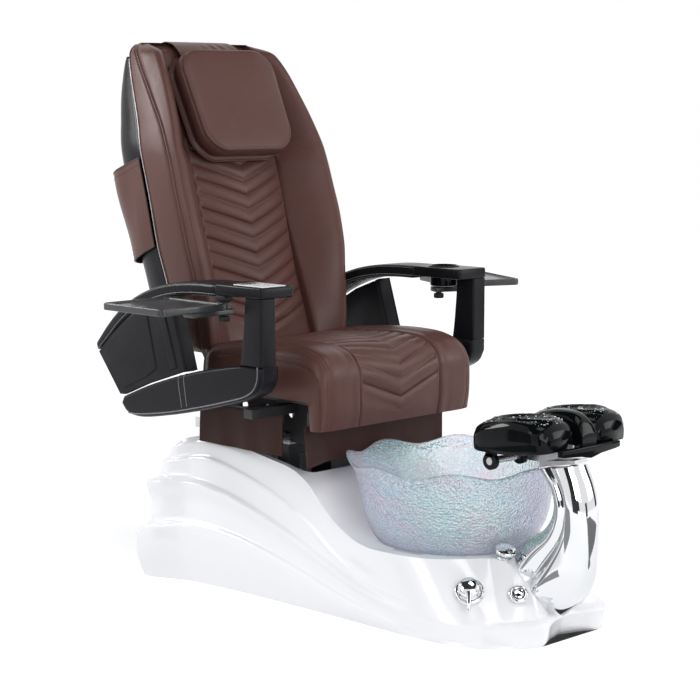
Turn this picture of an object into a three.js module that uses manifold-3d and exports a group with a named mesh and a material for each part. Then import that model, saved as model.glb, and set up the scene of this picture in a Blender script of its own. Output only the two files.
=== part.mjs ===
// Pedicure spa chair: a reclining massage seat on a swept fibreglass base, with a glass foot basin
// and a footrest on a chrome pillar. Millimetres, +Z up. The sitter looks along -Y.
// The origin is on the floor, under the middle of the base frame.
import * as THREE from "three";
import { mergeVertices } from "three/addons/utils/BufferGeometryUtils.js";
import { RoundedBoxGeometry } from "three/addons/geometries/RoundedBoxGeometry.js";
import Module from "manifold-3d";

const wasm = await Module();
wasm.setup();

// ---------------------------------------------------------------- driving dimensions

const SEAT_GAP = 0.4; // air between pieces that rest on each other
const RUN_GAP = 1.5; // air between pieces that slide or turn

// base
const SHELL_WALL = 7;
const SHELF_HEIGHT = 185; // the flat shelf that the basin stands in
const DECK_HEIGHT = 391; // highest point of the rear deck
const BASE_FRONT = 573; // floor outline, from the origin forward
const BASE_REAR = 595; // floor outline, from the origin back
const SEAT_DATUM = 391; // the seat's own heights are given over a deck of this height
const SEAT_RISE = DECK_HEIGHT - SEAT_DATUM;
const DECK_SLOT = { halfWidth: 214, front: 92, rear: 482 };
const TUBE = 40; // square tube of the base frame
const UPRIGHT_X = 170;
const UPRIGHT_Y = [200, 430];

// basin
const BASIN_Y = -237;
const BASIN_WALL = 6;
const BASIN_FOOT = 171; // underside of the basin
const RIM_HEIGHT = 390;
const RIM_RADIUS = 272;
const RIM_WAVES = 8;
const RIM_WAVE_HEIGHT = 9;
const RIM_WAVE_REACH = 4;
const DRAIN_RADIUS = 22;
const JET_Y = BASIN_Y + 100;
const JET_RADIUS = 36;

// rails and seat travel
const RAIL_WIDTH = 44;
const RAIL_WALL = 4;
const RAIL_HEIGHT = 28;
const RAIL_FRONT = 172;
const RAIL_REAR = 552;

// seat
const SEAT_HALF_WIDTH = 280;
const SEAT_FRONT = -46;
const SEAT_REAR = 416;
const SEAT_TOP = 668;
const PAN_HEIGHT = 521;
const PAN_THICKNESS = 12;
const APRON_BOTTOM = 462;
const RECLINE_Y = 445;
const RECLINE_Z = 560;

// arms, one outline for both sides
const ARM_OUTER = 417;
const ARM_WIDTH = 111;
const ARM_FRONT = 30;
const ARM_TOP = 830;
const BLOCK_THICKNESS = 28;
const BLOCK_LENGTH = 177;
const POST_WIDTH = 50;
const POD_WIDTH = 60;

// back
const BACK_BOTTOM = 676;
const BACK_TOP = 1440;
const PANEL_HALF_WIDTH = 160;
const CHEVRON_PITCH = 40;
const CHANNEL_DEPTH = 7;

// ---------------------------------------------------------------- geometry helpers

const vec = (x, y, z) => new THREE.Vector3(x, y, z);
const mix = THREE.MathUtils.lerp;
const ramp = THREE.MathUtils.smoothstep;

// A smooth height over sorted [position, value] pairs, without overshoot.
function tableCurve(pairs) {
  const slope = (i) => (pairs[i + 1][1] - pairs[i][1]) / (pairs[i + 1][0] - pairs[i][0]);
  const last = pairs.length - 1;
  const tangent = (i) => {
    if (i === 0) return slope(0);
    if (i === last) return slope(last - 1);
    const [a, b] = [slope(i - 1), slope(i)];
    return a * b <= 0 ? 0 : (2 * a * b) / (a + b);
  };
  return (at) => {
    if (at <= pairs[0][0]) return pairs[0][1];
    if (at >= pairs[last][0]) return pairs[last][1];
    const i = pairs.findIndex((p, k) => k < last && at <= pairs[k + 1][0]);
    const span = pairs[i + 1][0] - pairs[i][0];
    const s = (at - pairs[i][0]) / span;
    const [s2, s3] = [s * s, s * s * s];
    return (
      (2 * s3 - 3 * s2 + 1) * pairs[i][1] +
      (s3 - 2 * s2 + s) * span * tangent(i) +
      (3 * s2 - 2 * s3) * pairs[i + 1][1] +
      (s3 - s2) * span * tangent(i + 1)
    );
  };
}

// One closed surface from points and triangles, welded and facing outwards.
function surface(points, triangles) {
  const raw = new THREE.BufferGeometry().setFromPoints(points);
  raw.setIndex(triangles);
  const welded = mergeVertices(raw, 1e-3);
  const at = welded.attributes.position;
  const kept = [];
  let volume = 0;
  const [a, b, c] = [vec(), vec(), vec()];
  for (let i = 0; i < welded.index.count; i += 3) {
    const [p, q, r] = [0, 1, 2].map((k) => welded.index.getX(i + k));
    if (p === q || q === r || r === p) continue;
    kept.push(p, q, r);
    a.fromBufferAttribute(at, p);
    b.fromBufferAttribute(at, q);
    c.fromBufferAttribute(at, r);
    volume += a.dot(b.cross(c));
  }
  if (volume < 0) for (let i = 0; i < kept.length; i += 3) [kept[i], kept[i + 1]] = [kept[i + 1], kept[i]];
  welded.setIndex(kept);
  welded.computeVertexNormals();
  return welded;
}

// The triangles of a flat end ring, from ear clipping in the ring's own plane.
function capTriangles(ring, first) {
  const normal = vec();
  ring.forEach((p, i) => {
    const q = ring[(i + 1) % ring.length];
    normal.x += (p.y - q.y) * (p.z + q.z);
    normal.y += (p.z - q.z) * (p.x + q.x);
    normal.z += (p.x - q.x) * (p.y + q.y);
  });
  normal.normalize();
  const side = Math.abs(normal.x) < 0.9 ? vec(1, 0, 0) : vec(0, 1, 0);
  const u = side.cross(normal).normalize();
  const v = normal.clone().cross(u);
  const flat = ring.map((p) => new THREE.Vector2(p.dot(u), p.dot(v)));
  return THREE.ShapeUtils.triangulateShape(flat, []).flatMap((t) => t.map((k) => k + first));
}

// A skin through rings of equal count, with flat ends, or closed on itself.
function loft(rings, loop = false) {
  const count = rings[0].length;
  const triangles = [];
  const strips = loop ? rings.length : rings.length - 1;
  for (let i = 0; i < strips; i++)
    for (let j = 0; j < count; j++) {
      const [near, far] = [i * count, ((i + 1) % rings.length) * count];
      const k = (j + 1) % count;
      triangles.push(near + j, near + k, far + k, near + j, far + k, far + j);
    }
  if (!loop) {
    const start = capTriangles(rings[0], 0);
    for (let i = 0; i < start.length; i += 3) triangles.push(start[i], start[i + 2], start[i + 1]);
    triangles.push(...capTriangles(rings.at(-1), (rings.length - 1) * count));
  }
  return surface(rings.flat(), triangles);
}

function solidOf(geometry) {
  const bare = geometry.clone();
  bare.deleteAttribute("normal");
  bare.deleteAttribute("uv");
  const welded = mergeVertices(bare, 1e-3);
  const vertProperties = new Float32Array(welded.attributes.position.array);
  const triVerts = new Uint32Array(welded.index.array);
  return new wasm.Manifold(new wasm.Mesh({ numProp: 3, vertProperties, triVerts }));
}

function geometryOf(solid) {
  const mesh = solid.getMesh();
  const geometry = new THREE.BufferGeometry();
  geometry.setAttribute("position", new THREE.BufferAttribute(new Float32Array(mesh.vertProperties), 3));
  geometry.setIndex(new THREE.BufferAttribute(new Uint32Array(mesh.triVerts), 1));
  geometry.computeVertexNormals();
  return geometry;
}

const join = (...parts) => geometryOf(parts.map(solidOf).reduce((a, b) => a.add(b)));
const cut = (body, ...tools) =>
  geometryOf(tools.map(solidOf).reduce((a, b) => a.subtract(b), solidOf(body)));
const common = (a, b) => geometryOf(solidOf(a).intersect(solidOf(b)));

const box = ([x0, x1], [y0, y1], [z0, z1]) =>
  new THREE.BoxGeometry(x1 - x0, y1 - y0, z1 - z0).translate((x0 + x1) / 2, (y0 + y1) / 2, (z0 + z1) / 2);

function softBox([x0, x1], [y0, y1], [z0, z1], radius, steps = 1) {
  const geometry = new RoundedBoxGeometry(x1 - x0, y1 - y0, z1 - z0, steps, radius);
  return geometry.translate((x0 + x1) / 2, (y0 + y1) / 2, (z0 + z1) / 2);
}

// A round bar between two points.
function bar(radius, from, to, sides = 16) {
  const way = to.clone().sub(from);
  const geometry = new THREE.CylinderGeometry(radius, radius, way.length(), sides);
  const turn = new THREE.Quaternion().setFromUnitVectors(vec(0, 1, 0), way.clone().normalize());
  geometry.applyQuaternion(turn);
  return geometry.translate(...from.clone().add(to).multiplyScalar(0.5).toArray());
}

// A turned solid about the Z axis, from [radius, height] pairs.
function turned(pairs, sides = 16) {
  const profile = pairs.map(([r, z]) => new THREE.Vector2(r, z));
  const geometry = new THREE.LatheGeometry(profile, sides).rotateX(Math.PI / 2);
  const at = geometry.attributes.position;
  const points = Array.from({ length: at.count }, (_, i) => vec().fromBufferAttribute(at, i));
  return surface(points, [...geometry.index.array]);
}

// A side outline of [y, z] points, pushed out along X.
function sidePlate(outline, [x0, x1], bevel = 0) {
  const shape = new THREE.Shape(outline.map(([y, z]) => new THREE.Vector2(y, z)));
  const geometry = new THREE.ExtrudeGeometry(shape, {
    depth: x1 - x0 - 2 * bevel,
    bevelEnabled: bevel > 0,
    bevelSize: bevel,
    bevelThickness: bevel,
    bevelOffset: -bevel,
    bevelSegments: 1,
  });
  const turn = new THREE.Matrix4().makeBasis(vec(0, 1, 0), vec(0, 0, 1), vec(1, 0, 0));
  return geometry.applyMatrix4(turn).translate(x0 + bevel, 0, 0);
}

// Points of a smooth line through a few [a, b] pairs.
function smooth2(pairs, steps) {
  const curve = new THREE.CatmullRomCurve3(pairs.map(([a, b]) => vec(a, b, 0)));
  return Array.from({ length: steps + 1 }, (_, i) => {
    const p = curve.getPoint(i / steps);
    return [p.x, p.y];
  });
}

// The other-hand copy of a piece, turned right side out again.
function mirrored(geometry) {
  const other = geometry.clone().scale(-1, 1, 1);
  const order = [...other.index.array];
  for (let i = 0; i < order.length; i += 3) [order[i], order[i + 1]] = [order[i + 1], order[i]];
  other.setIndex(order);
  other.computeVertexNormals();
  return other;
}

// A rectangle with round corners, as [a, b] pairs round its centre.
function roundedRect(halfA, halfB, radius, steps = 3) {
  const corners = [
    [1, 1],
    [-1, 1],
    [-1, -1],
    [1, -1],
  ];
  return corners.flatMap(([sa, sb], k) =>
    Array.from({ length: steps + 1 }, (_, i) => {
      const angle = (k + i / steps) * (Math.PI / 2);
      const [a, b] = [sa * (halfA - radius), sb * (halfB - radius)];
      return [a + radius * Math.cos(angle), b + radius * Math.sin(angle)];
    }),
  );
}

// ---------------------------------------------------------------- base shell

// Half outlines from the front centre round to the rear centre, [x, y], point for point.
const FLOOR_LINE = [
  [0, -BASE_FRONT],
  [60, -592],
  [108, -613],
  [150, -598],
  [195, -562],
  [228, -521],
  [255, -450],
  [268, -350],
  [270, -200],
  [270, -60],
  [272, 69],
  [277, 220],
  [285, 344],
  [304, 473],
  [345, 575],
  [335, 606],
  [180, 600],
  [0, BASE_REAR],
];
const DECK_LINE = [
  [0, -566],
  [45, -566],
  [80, -548],
  [88, -500],
  [104, -445],
  [160, -400],
  [212, -345],
  [236, -270],
  [240, -160],
  [236, -50],
  [232, 69],
  [232, 220],
  [234, 344],
  [238, 473],
  [262, 540],
  [240, 562],
  [130, 566],
  [0, 566],
];
const FACET_END = 6.5 / 17; // the plain control face runs from the front centre to here
const WAVES_START = 8.5 / 17; // and the waves begin here
const REAR_START = 12 / 17;

const deckHeight = tableCurve([
  [-600, 80],
  [-570, 108],
  [-535, 142],
  [-490, 176],
  [-462, SHELF_HEIGHT],
  [-180, SHELF_HEIGHT],
  [-133, 191],
  [-54, 222],
  [13, 270],
  [67, 318],
  [129, DECK_HEIGHT - 45],
  [200, DECK_HEIGHT - 33],
  [300, DECK_HEIGHT - 17],
  [431, DECK_HEIGHT],
  [500, DECK_HEIGHT - 9],
  [545, DECK_HEIGHT - 31],
  [568, DECK_HEIGHT - 56],
]);
const waveLow = tableCurve([
  [-330, 8],
  [-235, 25],
  [-106, 51],
  [28, 87],
  [167, 121],
  [312, 148],
  [425, 157],
  [542, 146],
  [606, 112],
]);
const waveMiddle = tableCurve([
  [-613, 66],
  [-560, 54],
  [-430, 50],
  [-330, 53],
  [-161, 83],
  [-29, 130],
  [107, 183],
  [249, 228],
  [352, 254],
  [473, 269],
  [567, 263],
  [606, 238],
]);
const waveHigh = tableCurve([
  [-600, 72],
  [-430, 76],
  [-300, 84],
  [-153, 108],
  [-55, 150],
  [46, 214],
  [150, 264],
  [293, 308],
  [430, 332],
  [568, 312],
]);

// How far each level of the side wall stands in from the floor line, as a share of the way to the
// deck line, and out from it by the bulge below the lowest wave.
const WALL_LEVELS = [
  { height: () => 0, inset: 0, bulge: 0 },
  { height: (w) => w.low * 0.5, inset: 0, bulge: 0.9 },
  { height: (w) => w.low, inset: 0, bulge: 1 },
  { height: (w) => w.low + 9, inset: 0.24, bulge: 0.4 },
  { height: (w) => mix(w.low, w.middle, 0.55), inset: 0.3, bulge: 0.3 },
  { height: (w) => w.middle, inset: 0.22, bulge: 0.8, ridge: "middle" },
  { height: (w) => w.middle + 9, inset: 0.5, bulge: 0.3 },
  { height: (w) => mix(w.middle, w.high, 0.6), inset: 0.56, bulge: 0.1 },
  { height: (w) => w.high, inset: 0.54, bulge: 0 },
  { height: (w) => w.high + 9, inset: 0.72, bulge: 0 },
  { height: (w) => mix(w.high, w.deck, 0.72), inset: 0.82, bulge: 0 },
  { height: (w) => w.deck - 7, inset: 0.94, bulge: 0 },
  { height: (w) => w.deck, inset: 1, bulge: 0 },
];
const MIDDLE_LEVEL = WALL_LEVELS.findIndex(({ ridge }) => ridge === "middle");
const ALL_LEVELS = WALL_LEVELS.map((_, k) => k);
const BASE_STATIONS = 26;

const lineOf = (pairs) =>
  new THREE.CatmullRomCurve3(pairs.map(([x, y]) => vec(x, y, 0)), false, "centripetal");
const floorLine = lineOf(FLOOR_LINE);
const deckLine = lineOf(DECK_LINE);

// A point of the left-hand wall: t runs from the front centre to the rear centre, level up the wall.
// Grow moves the whole skin outwards, or inwards where it is negative.
function wallPoint(t, level, grow = 0) {
  const foot = floorLine.getPoint(t);
  const head = deckLine.getPoint(t);
  const along = floorLine.getTangent(t);
  const out = vec(along.y, -along.x, 0).normalize();
  if (t === 0) out.set(0, -1, 0);
  if (t === 1) out.set(0, 1, 0);
  const where = mix(foot.y, head.y, 0.5);
  const waves = { deck: deckHeight(head.y) };
  waves.low = Math.min(waveLow(where), waves.deck - 60);
  waves.middle = Math.max(Math.min(waveMiddle(where), waves.deck - 40), waves.low + 22);
  waves.high = Math.max(Math.min(waveHigh(where), waves.deck - 22), waves.middle + 12);
  const { height, inset, bulge } = WALL_LEVELS[level];
  const z = height(waves);
  const plain = 1 - ramp(t, FACET_END, WAVES_START);
  const climb = THREE.MathUtils.clamp((z - waves.middle) / (waves.deck - waves.middle), 0, 1);
  const facetInset = level < MIDDLE_LEVEL ? (0.1 * level) / MIDDLE_LEVEL : mix(0.1, 1, climb);
  const swell = 20 * ramp(t, REAR_START, 1) + 8 * (1 - plain);
  const lip = 20 * (1 - ramp(t, 0.12, 0.3)) * (level === MIDDLE_LEVEL ? 1 : level < MIDDLE_LEVEL ? level / 6 : 0);
  const share = mix(inset, facetInset, plain);
  const point = foot.lerp(head, share);
  point.addScaledVector(out, swell * bulge * (1 - plain) + lip + grow);
  point.x = t === 0 || t === 1 ? 0 : Math.max(point.x, 0);
  const foundation = grow === 0 ? 0 : -SHELL_WALL;
  return point.setZ(level === 0 ? foundation : z + grow);
}

// The whole base as a plain solid, in rings from front to rear.
function baseSolid(stations, levels, grow) {
  const rings = [];
  for (let i = 0; i <= stations; i++) {
    const right = levels.map((level) => wallPoint(i / stations, level, grow));
    const left = right.map((p) => vec(-p.x, p.y, p.z));
    const edge = right.at(-1);
    const deck = [-0.5, 0, 0.5].map((share) => vec(share * edge.x, edge.y, edge.z));
    rings.push([...left, ...deck, ...right.reverse()]);
  }
  return loft(rings);
}

// Radius and height of the basin's outer skin at the foot of its wall, up to the rim.
const BASIN_PROFILE = [
  [150, BASIN_FOOT],
  [176, 175],
  [197, 190],
  [214, 213],
  [231, 246],
  [253, 350],
  [261, 371],
];

function makeBaseShell() {
  const outer = baseSolid(BASE_STATIONS, ALL_LEVELS, 0);
  const inner = baseSolid(BASE_STATIONS, [0, 3, 6, 9, 12], -SHELL_WALL);
  const ledge = { inner: 140, floor: BASIN_FOOT - 3, under: BASIN_FOOT - 9 };
  const dish = turned([
    [0, ledge.under],
    [208, ledge.under],
    [208, SHELF_HEIGHT - 2],
    [0, SHELF_HEIGHT - 2],
  ], 24).translate(0, BASIN_Y, 0);
  const recess = turned([
    [0, ledge.floor],
    ...BASIN_PROFILE.map(([r, z], i) => [r + 4, i ? z : ledge.floor]),
    [RIM_RADIUS + 12, RIM_HEIGHT],
    [RIM_RADIUS + 12, 450],
    [0, 450],
  ], 40).translate(0, BASIN_Y, 0);
  const well = turned([
    [0, 100],
    [ledge.inner, 100],
    [ledge.inner, 200],
    [0, 200],
  ], 32).translate(0, BASIN_Y, 0);
  const { halfWidth, front, rear } = DECK_SLOT;
  const slot = softBox([-halfWidth, halfWidth], [front, rear], [300, 460], 24);
  return cut(join(cut(outer, inner), common(dish, outer)), recess, well, slot, ...controlHoles());
}

// ---------------------------------------------------------------- base frame and rails

function makeBaseFrame() {
  const half = TUBE / 2;
  const railY = [-400, 530];
  const beams = [-400 + half, BASIN_Y, 0, UPRIGHT_Y[0], UPRIGHT_Y[1], 530 - half];
  const parts = [];
  for (const side of [-1, 1]) {
    const x = side * 150;
    parts.push(box([x - half, x + half], railY, [0, TUBE]));
    for (const y of UPRIGHT_Y) {
      const post = side * UPRIGHT_X;
      parts.push(box([post - half, post + half], [y - half, y + half], [TUBE / 2, DECK_HEIGHT + 5]));
    }
    parts.push(box([x - half, x + half], [BASIN_Y - half, BASIN_Y + half], [TUBE / 2, BASIN_FOOT - 9.4]));
  }
  for (const y of beams) parts.push(box([-170, 170], [y - half, y + half], [0, TUBE]));
  for (const y of UPRIGHT_Y) {
    parts.push(box([-UPRIGHT_X, UPRIGHT_X], [y - half, y + half], [DECK_HEIGHT - 25, DECK_HEIGHT + 5]));
  }
  return join(...parts);
}

const RAIL_FOOT = DECK_HEIGHT + 5 + SEAT_GAP;

// A channel section, open upwards, as [x, z] pairs: the fixed half of a seat slide.
function makeRail(side) {
  const outer = RAIL_WIDTH / 2;
  const inner = outer - RAIL_WALL;
  const x = side * UPRIGHT_X;
  const hollow = [RAIL_FOOT + RAIL_WALL, RAIL_FOOT + 60];
  const trough = box([x - inner, x + inner], [RAIL_FRONT - 1, RAIL_REAR + 1], hollow);
  const channel = box([x - outer, x + outer], [RAIL_FRONT, RAIL_REAR], [RAIL_FOOT, RAIL_FOOT + RAIL_HEIGHT]);
  return cut(channel, trough);
}

// ---------------------------------------------------------------- basin and its fittings

function basinRing(height, radius, wave) {
  const sides = 48;
  return Array.from({ length: sides }, (_, i) => {
    const angle = (i / sides) * 2 * Math.PI;
    const swing = Math.cos(RIM_WAVES * angle + 0.6);
    const r = radius + wave * RIM_WAVE_REACH * swing;
    return vec(r * Math.cos(angle), r * Math.sin(angle), height + wave * RIM_WAVE_HEIGHT * swing);
  });
}

function makeBasin() {
  const floor = BASIN_FOOT + BASIN_WALL;
  const rings = [
    [DRAIN_RADIUS, BASIN_FOOT, 0],
    ...BASIN_PROFILE.map(([r, z]) => [r, z, ramp(z, 320, RIM_HEIGHT)]),
    [RIM_RADIUS - 1, RIM_HEIGHT - 7, 1],
    [RIM_RADIUS + 1, RIM_HEIGHT, 1],
    [RIM_RADIUS - 5, RIM_HEIGHT + 4, 1],
    [RIM_RADIUS - 11, RIM_HEIGHT - 3, 1],
    ...BASIN_PROFILE.slice(1)
      .map(([r, z]) => [r - BASIN_WALL, z + (z < 230 ? 4 : 0), ramp(z, 320, RIM_HEIGHT)])
      .reverse(),
    [150, floor, 0],
    [DRAIN_RADIUS, floor, 0],
  ];
  const skin = loft(rings.map(([r, z, wave]) => basinRing(z, r, wave)), true).translate(0, BASIN_Y, 0);
  return cut(skin, bar(JET_RADIUS, vec(0, JET_Y, 150), vec(0, JET_Y, 200), 32));
}

function makeGasket() {
  const low = BASIN_FOOT - 3 + SEAT_GAP;
  const high = BASIN_FOOT - SEAT_GAP;
  return turned([
    [142, low],
    [152, low],
    [152, high],
    [142, high],
    [142, low],
  ]).translate(0, BASIN_Y, 0);
}

function makeDrain() {
  const floor = BASIN_FOOT + BASIN_WALL + SEAT_GAP;
  const stem = DRAIN_RADIUS - 2;
  return turned([
    [stem - 3, 96],
    [stem, 96],
    [stem, floor],
    [34, floor],
    [33, floor + 3],
    [stem + 2, floor + 4],
    [stem - 3, floor + 1],
    [stem - 3, 96],
  ]).translate(0, BASIN_Y, 0);
}

function makeStopper() {
  const floor = BASIN_FOOT + BASIN_WALL + SEAT_GAP + 5;
  return turned([
    [0, floor - 50],
    [4, floor - 50],
    [4, floor - 8],
    [14, floor - 4],
    [20, floor],
    [20, floor + 2],
    [12, floor + 6],
    [0, floor + 7],
  ]).translate(0, BASIN_Y, 0);
}

const JET_FLOOR = BASIN_FOOT + BASIN_WALL + SEAT_GAP;

function makeJetMotor() {
  return turned([
    [0, 92],
    [44, 92],
    [48, 98],
    [48, 146],
    [JET_RADIUS - 1.5, 150],
    [JET_RADIUS - 1.5, JET_FLOOR],
    [JET_RADIUS + 8, JET_FLOOR],
    [JET_RADIUS + 8, JET_FLOOR + 4],
    [JET_RADIUS - 6, JET_FLOOR + 4],
    [JET_RADIUS - 6, JET_FLOOR - 14],
    [3, JET_FLOOR - 14],
    [3, JET_FLOOR],
    [0, JET_FLOOR],
  ], 16).translate(0, JET_Y, 0);
}

// Six curved blades on a hub that turns on the motor's pin.
function makeImpeller() {
  const low = JET_FLOOR - 11;
  const hub = turned([
    [3.6, low],
    [8, low],
    [8, low + 12],
    [3.6, low + 12],
    [3.6, low],
  ], 16);
  const blades = Array.from({ length: 6 }, (_, i) => {
    const blade = box([6, 24], [-1.2, 1.2], [-4, 4]);
    return blade.rotateX(0.35).translate(0, 0, low + 6).rotateZ((i * Math.PI) / 3);
  });
  return join(hub, ...blades).translate(0, JET_Y, 0);
}

function makeJetCover() {
  const rim = JET_FLOOR + 4 + SEAT_GAP;
  const cover = turned([
    [0, rim + 6],
    [JET_RADIUS - 8, rim + 4],
    [JET_RADIUS - 4, rim],
    [JET_RADIUS + 6, rim],
    [JET_RADIUS + 4, rim + 3],
    [JET_RADIUS - 6, rim + 8],
    [0, rim + 9],
  ]);
  const slots = Array.from({ length: 8 }, (_, i) =>
    box([10, JET_RADIUS - 10], [-2.2, 2.2], [rim - 2, rim + 12]).rotateZ((i * Math.PI) / 4),
  );
  return cut(cover, ...slots).translate(0, JET_Y, 0);
}

// ---------------------------------------------------------------- footrest

const FOOTREST_SEAT = RIM_HEIGHT + 88; // underside of the saddle and top of the bracket plates
const PILLAR_BACK = [
  [-440, 150],
  [-486, 226],
  [-538, 258],
  [-566, 297],
  [-573, 335],
  [-558, FOOTREST_SEAT - 104],
  [-524, FOOTREST_SEAT - 70],
];
const PILLAR_FRONT = [
  [-590, 50],
  [-636, 92],
  [-666, 142],
  [-673, 206],
  [-676, 270],
  [-674, 330],
  [-660, FOOTREST_SEAT - 94],
  [-640, FOOTREST_SEAT - 50],
];
const PIVOT_BAR = { y: -485, z: FOOTREST_SEAT - 41, radius: 9, halfLength: 158 };
const PAD_INNER = 30;
const PAD_OUTER = 166;
const PAD_REAR = -426;
const PAD_FRONT = -650;

// Two rounded lobes side by side: an oval section with a waist.
function pillarRing(back, front, halfWidth) {
  const sides = 20;
  const middle = vec(0, (back[0] + front[0]) / 2, (back[1] + front[1]) / 2);
  const reach = vec(0, (front[0] - back[0]) / 2, (front[1] - back[1]) / 2);
  return Array.from({ length: sides }, (_, i) => {
    const angle = (i / sides) * 2 * Math.PI;
    const waist = 1 - 0.26 * Math.exp(-((Math.cos(angle) / 0.3) ** 2));
    return middle.clone().addScaledVector(reach, Math.cos(angle)).setX(halfWidth * waist * Math.sin(angle));
  });
}

function makePillar() {
  const steps = 18;
  const back = smooth2(PILLAR_BACK, steps);
  const front = smooth2(PILLAR_FRONT, steps);
  const rings = back.map((p, i) => pillarRing(p, front[i], mix(86, 54, ramp(i / steps, 0.05, 0.6))));
  return cut(loft(rings), baseSolid(BASE_STATIONS, ALL_LEVELS, 1));
}

function makeFootrestBracket() {
  const seat = FOOTREST_SEAT;
  const outline = [
    [-470, seat - 48],
    [-478, seat - 54],
    [-536, seat - 54],
    [-546, seat - 50],
    [-620, seat - 29],
    [-630, seat - SEAT_GAP],
    [-520, seat - SEAT_GAP],
    [-476, seat - 26],
    [-469, seat - 35],
  ];
  const plates = [-1, 1].map((side) => sidePlate(outline, [side * 21 - 3, side * 21 + 3]));
  const sole = [
    [-528, seat - 67],
    [-637, seat - 45],
    [-636, seat - 37],
    [-528, seat - 53],
  ];
  const foot = sidePlate(sole, [-24, 24]);
  const { y, z, radius, halfLength } = PIVOT_BAR;
  return join(...plates, foot, bar(radius, vec(-halfLength, y, z), vec(halfLength, y, z)));
}

// Glossy moulded centre piece between the two foot pads.
function makeSaddle() {
  const low = FOOTREST_SEAT;
  const crown = [
    [-490, low + 48],
    [-512, low + 65],
    [-560, low + 75],
    [-612, low + 73],
    [-646, low + 54],
  ];
  const outline = [
    [-488, low],
    [-488, low + 40],
    ...smooth2(crown, 8),
    [-656, low + 34],
    [-660, low],
  ];
  return sidePlate(outline, [-PAD_INNER + RUN_GAP + 1, PAD_INNER - RUN_GAP - 1], 4);
}

function makeCowl() {
  const top = FOOTREST_SEAT - SEAT_GAP;
  const half = [[110, 0], [110, -15], [72, -19], [36, -22]];
  const right = half.map(([x, drop]) => [x, top + drop]);
  const outline = [...right, [0, top - 29], ...right.map(([x, z]) => [-x, z]).reverse()];
  const shape = new THREE.Shape(outline.map(([x, z]) => new THREE.Vector2(x, z)));
  const settings = { depth: 10, bevelSize: 3, bevelThickness: 3, bevelOffset: -3, bevelSegments: 1 };
  const turn = new THREE.Matrix4().makeBasis(vec(1, 0, 0), vec(0, 0, 1), vec(0, -1, 0));
  return new THREE.ExtrudeGeometry(shape, settings).applyMatrix4(turn).translate(0, PAD_FRONT - 5, 0);
}

// Heights above the footrest's seat along a foot pad, from its rear to its front, and its half width.
const padTop = tableCurve([
  [0, 30],
  [0.06, 44],
  [0.2, 56],
  [0.4, 65],
  [0.6, 70],
  [0.8, 68],
  [0.93, 59],
  [1, 44],
]);
const padUnder = tableCurve([
  [0, -16],
  [0.1, -20],
  [0.5, -18],
  [0.85, -9],
  [1, -4],
]);
const padHalf = tableCurve([
  [0, 50],
  [0.06, 62],
  [0.2, 67],
  [0.5, 69],
  [0.84, 68],
  [0.94, 62],
  [1, 48],
]);

// A foot pad: a thick moulding, dished where the sole rests, on two lugs that turn on the pivot bar.
function makeFootPad(side) {
  const steps = 11;
  const middle = (PAD_INNER + PAD_OUTER) / 2;
  const rings = Array.from({ length: steps + 1 }, (_, i) => {
    const u = i / steps;
    const [top, under, half] = [FOOTREST_SEAT + padTop(u), FOOTREST_SEAT + padUnder(u), padHalf(u)];
    return roundedRect(half, (top - under) / 2, Math.min(20, 0.45 * (top - under)), 2).map(([x, z]) => {
      const oval = (x / 48) ** 2 + ((u - 0.52) / 0.36) ** 2;
      const dish = z > 0 ? 11 * (1 - ramp(oval, 0.35, 1)) : 0;
      return vec(side * middle + x, mix(PAD_REAR, PAD_FRONT, u), (top + under) / 2 + z - dish);
    });
  });
  const { y, z, radius } = PIVOT_BAR;
  const lugs = [PAD_OUTER - 15, PAD_INNER + 14].flatMap((x) => [
    bar(20, vec(side * x - 7, y, z), vec(side * x + 7, y, z), 14),
    box([side * x - 7, side * x + 7], [y - 14, y + 14], [z, FOOTREST_SEAT - 10]),
  ]);
  const bore = bar(radius + 0.6, vec(side * PAD_INNER, y, z), vec(side * (PAD_OUTER + 20), y, z));
  return cut(join(loft(rings), ...lugs), bore);
}

// ---------------------------------------------------------------- controls on the base

// A place on the plain control face: t runs along the outline, climb from its foot to the deck line.
function facePlace(t, climb) {
  const at = (s, c) => wallPoint(s, MIDDLE_LEVEL).lerp(wallPoint(s, WALL_LEVELS.length - 1), c);
  const point = at(t, climb);
  const along = at(t + 0.01, climb).sub(at(t - 0.01, climb));
  const up = at(t, climb + 0.1).sub(at(t, climb - 0.1));
  const normal = along.cross(up).normalize();
  if (normal.x < 0) normal.negate();
  return { point: point.setX(-point.x), normal: normal.setX(-normal.x) };
}

const MIXER_PLACE = { t: 0.294, climb: 0.51 };
const SWITCH_PLACE = { t: 0.178, climb: 0.53 };
const SPRAYER_PLACE = { x: -80, y: -467 };
const SPRAYER_TILT = 20; // degrees away from the basin, so that the head draws out past its flared side
const MIXER_RADIUS = 36;
const SWITCH_RADIUS = 24;

// Stands a piece that is modelled about +Z on the control face.
function onFace(geometry, { t, climb }) {
  const { point, normal } = facePlace(t, climb);
  const across = vec(0, 0, 1).cross(normal).normalize();
  const basis = new THREE.Matrix4().makeBasis(across, normal.clone().cross(across), normal);
  return geometry.applyMatrix4(basis.setPosition(point));
}

function makeMixerPlate() {
  return onFace(turned([
    [0, -34],
    [15, -34],
    [15, 2.5],
    [MIXER_RADIUS, 2.5],
    [MIXER_RADIUS, 5],
    [MIXER_RADIUS - 5, 9],
    [23, 12],
    [16, 12],
    [16, 10],
    [0, 10],
  ]), MIXER_PLACE);
}

function makeMixerLever() {
  const cap = turned([
    [0, 11.5],
    [14.5, 11.5],
    [14.5, 13.5],
    [19, 13.5],
    [20, 30],
    [16, 36],
    [0, 38],
  ], 28);
  const lever = softBox([-5, 5], [-62, -8], [25, 33], 3.5);
  return onFace(join(cap, lever), MIXER_PLACE);
}

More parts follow.
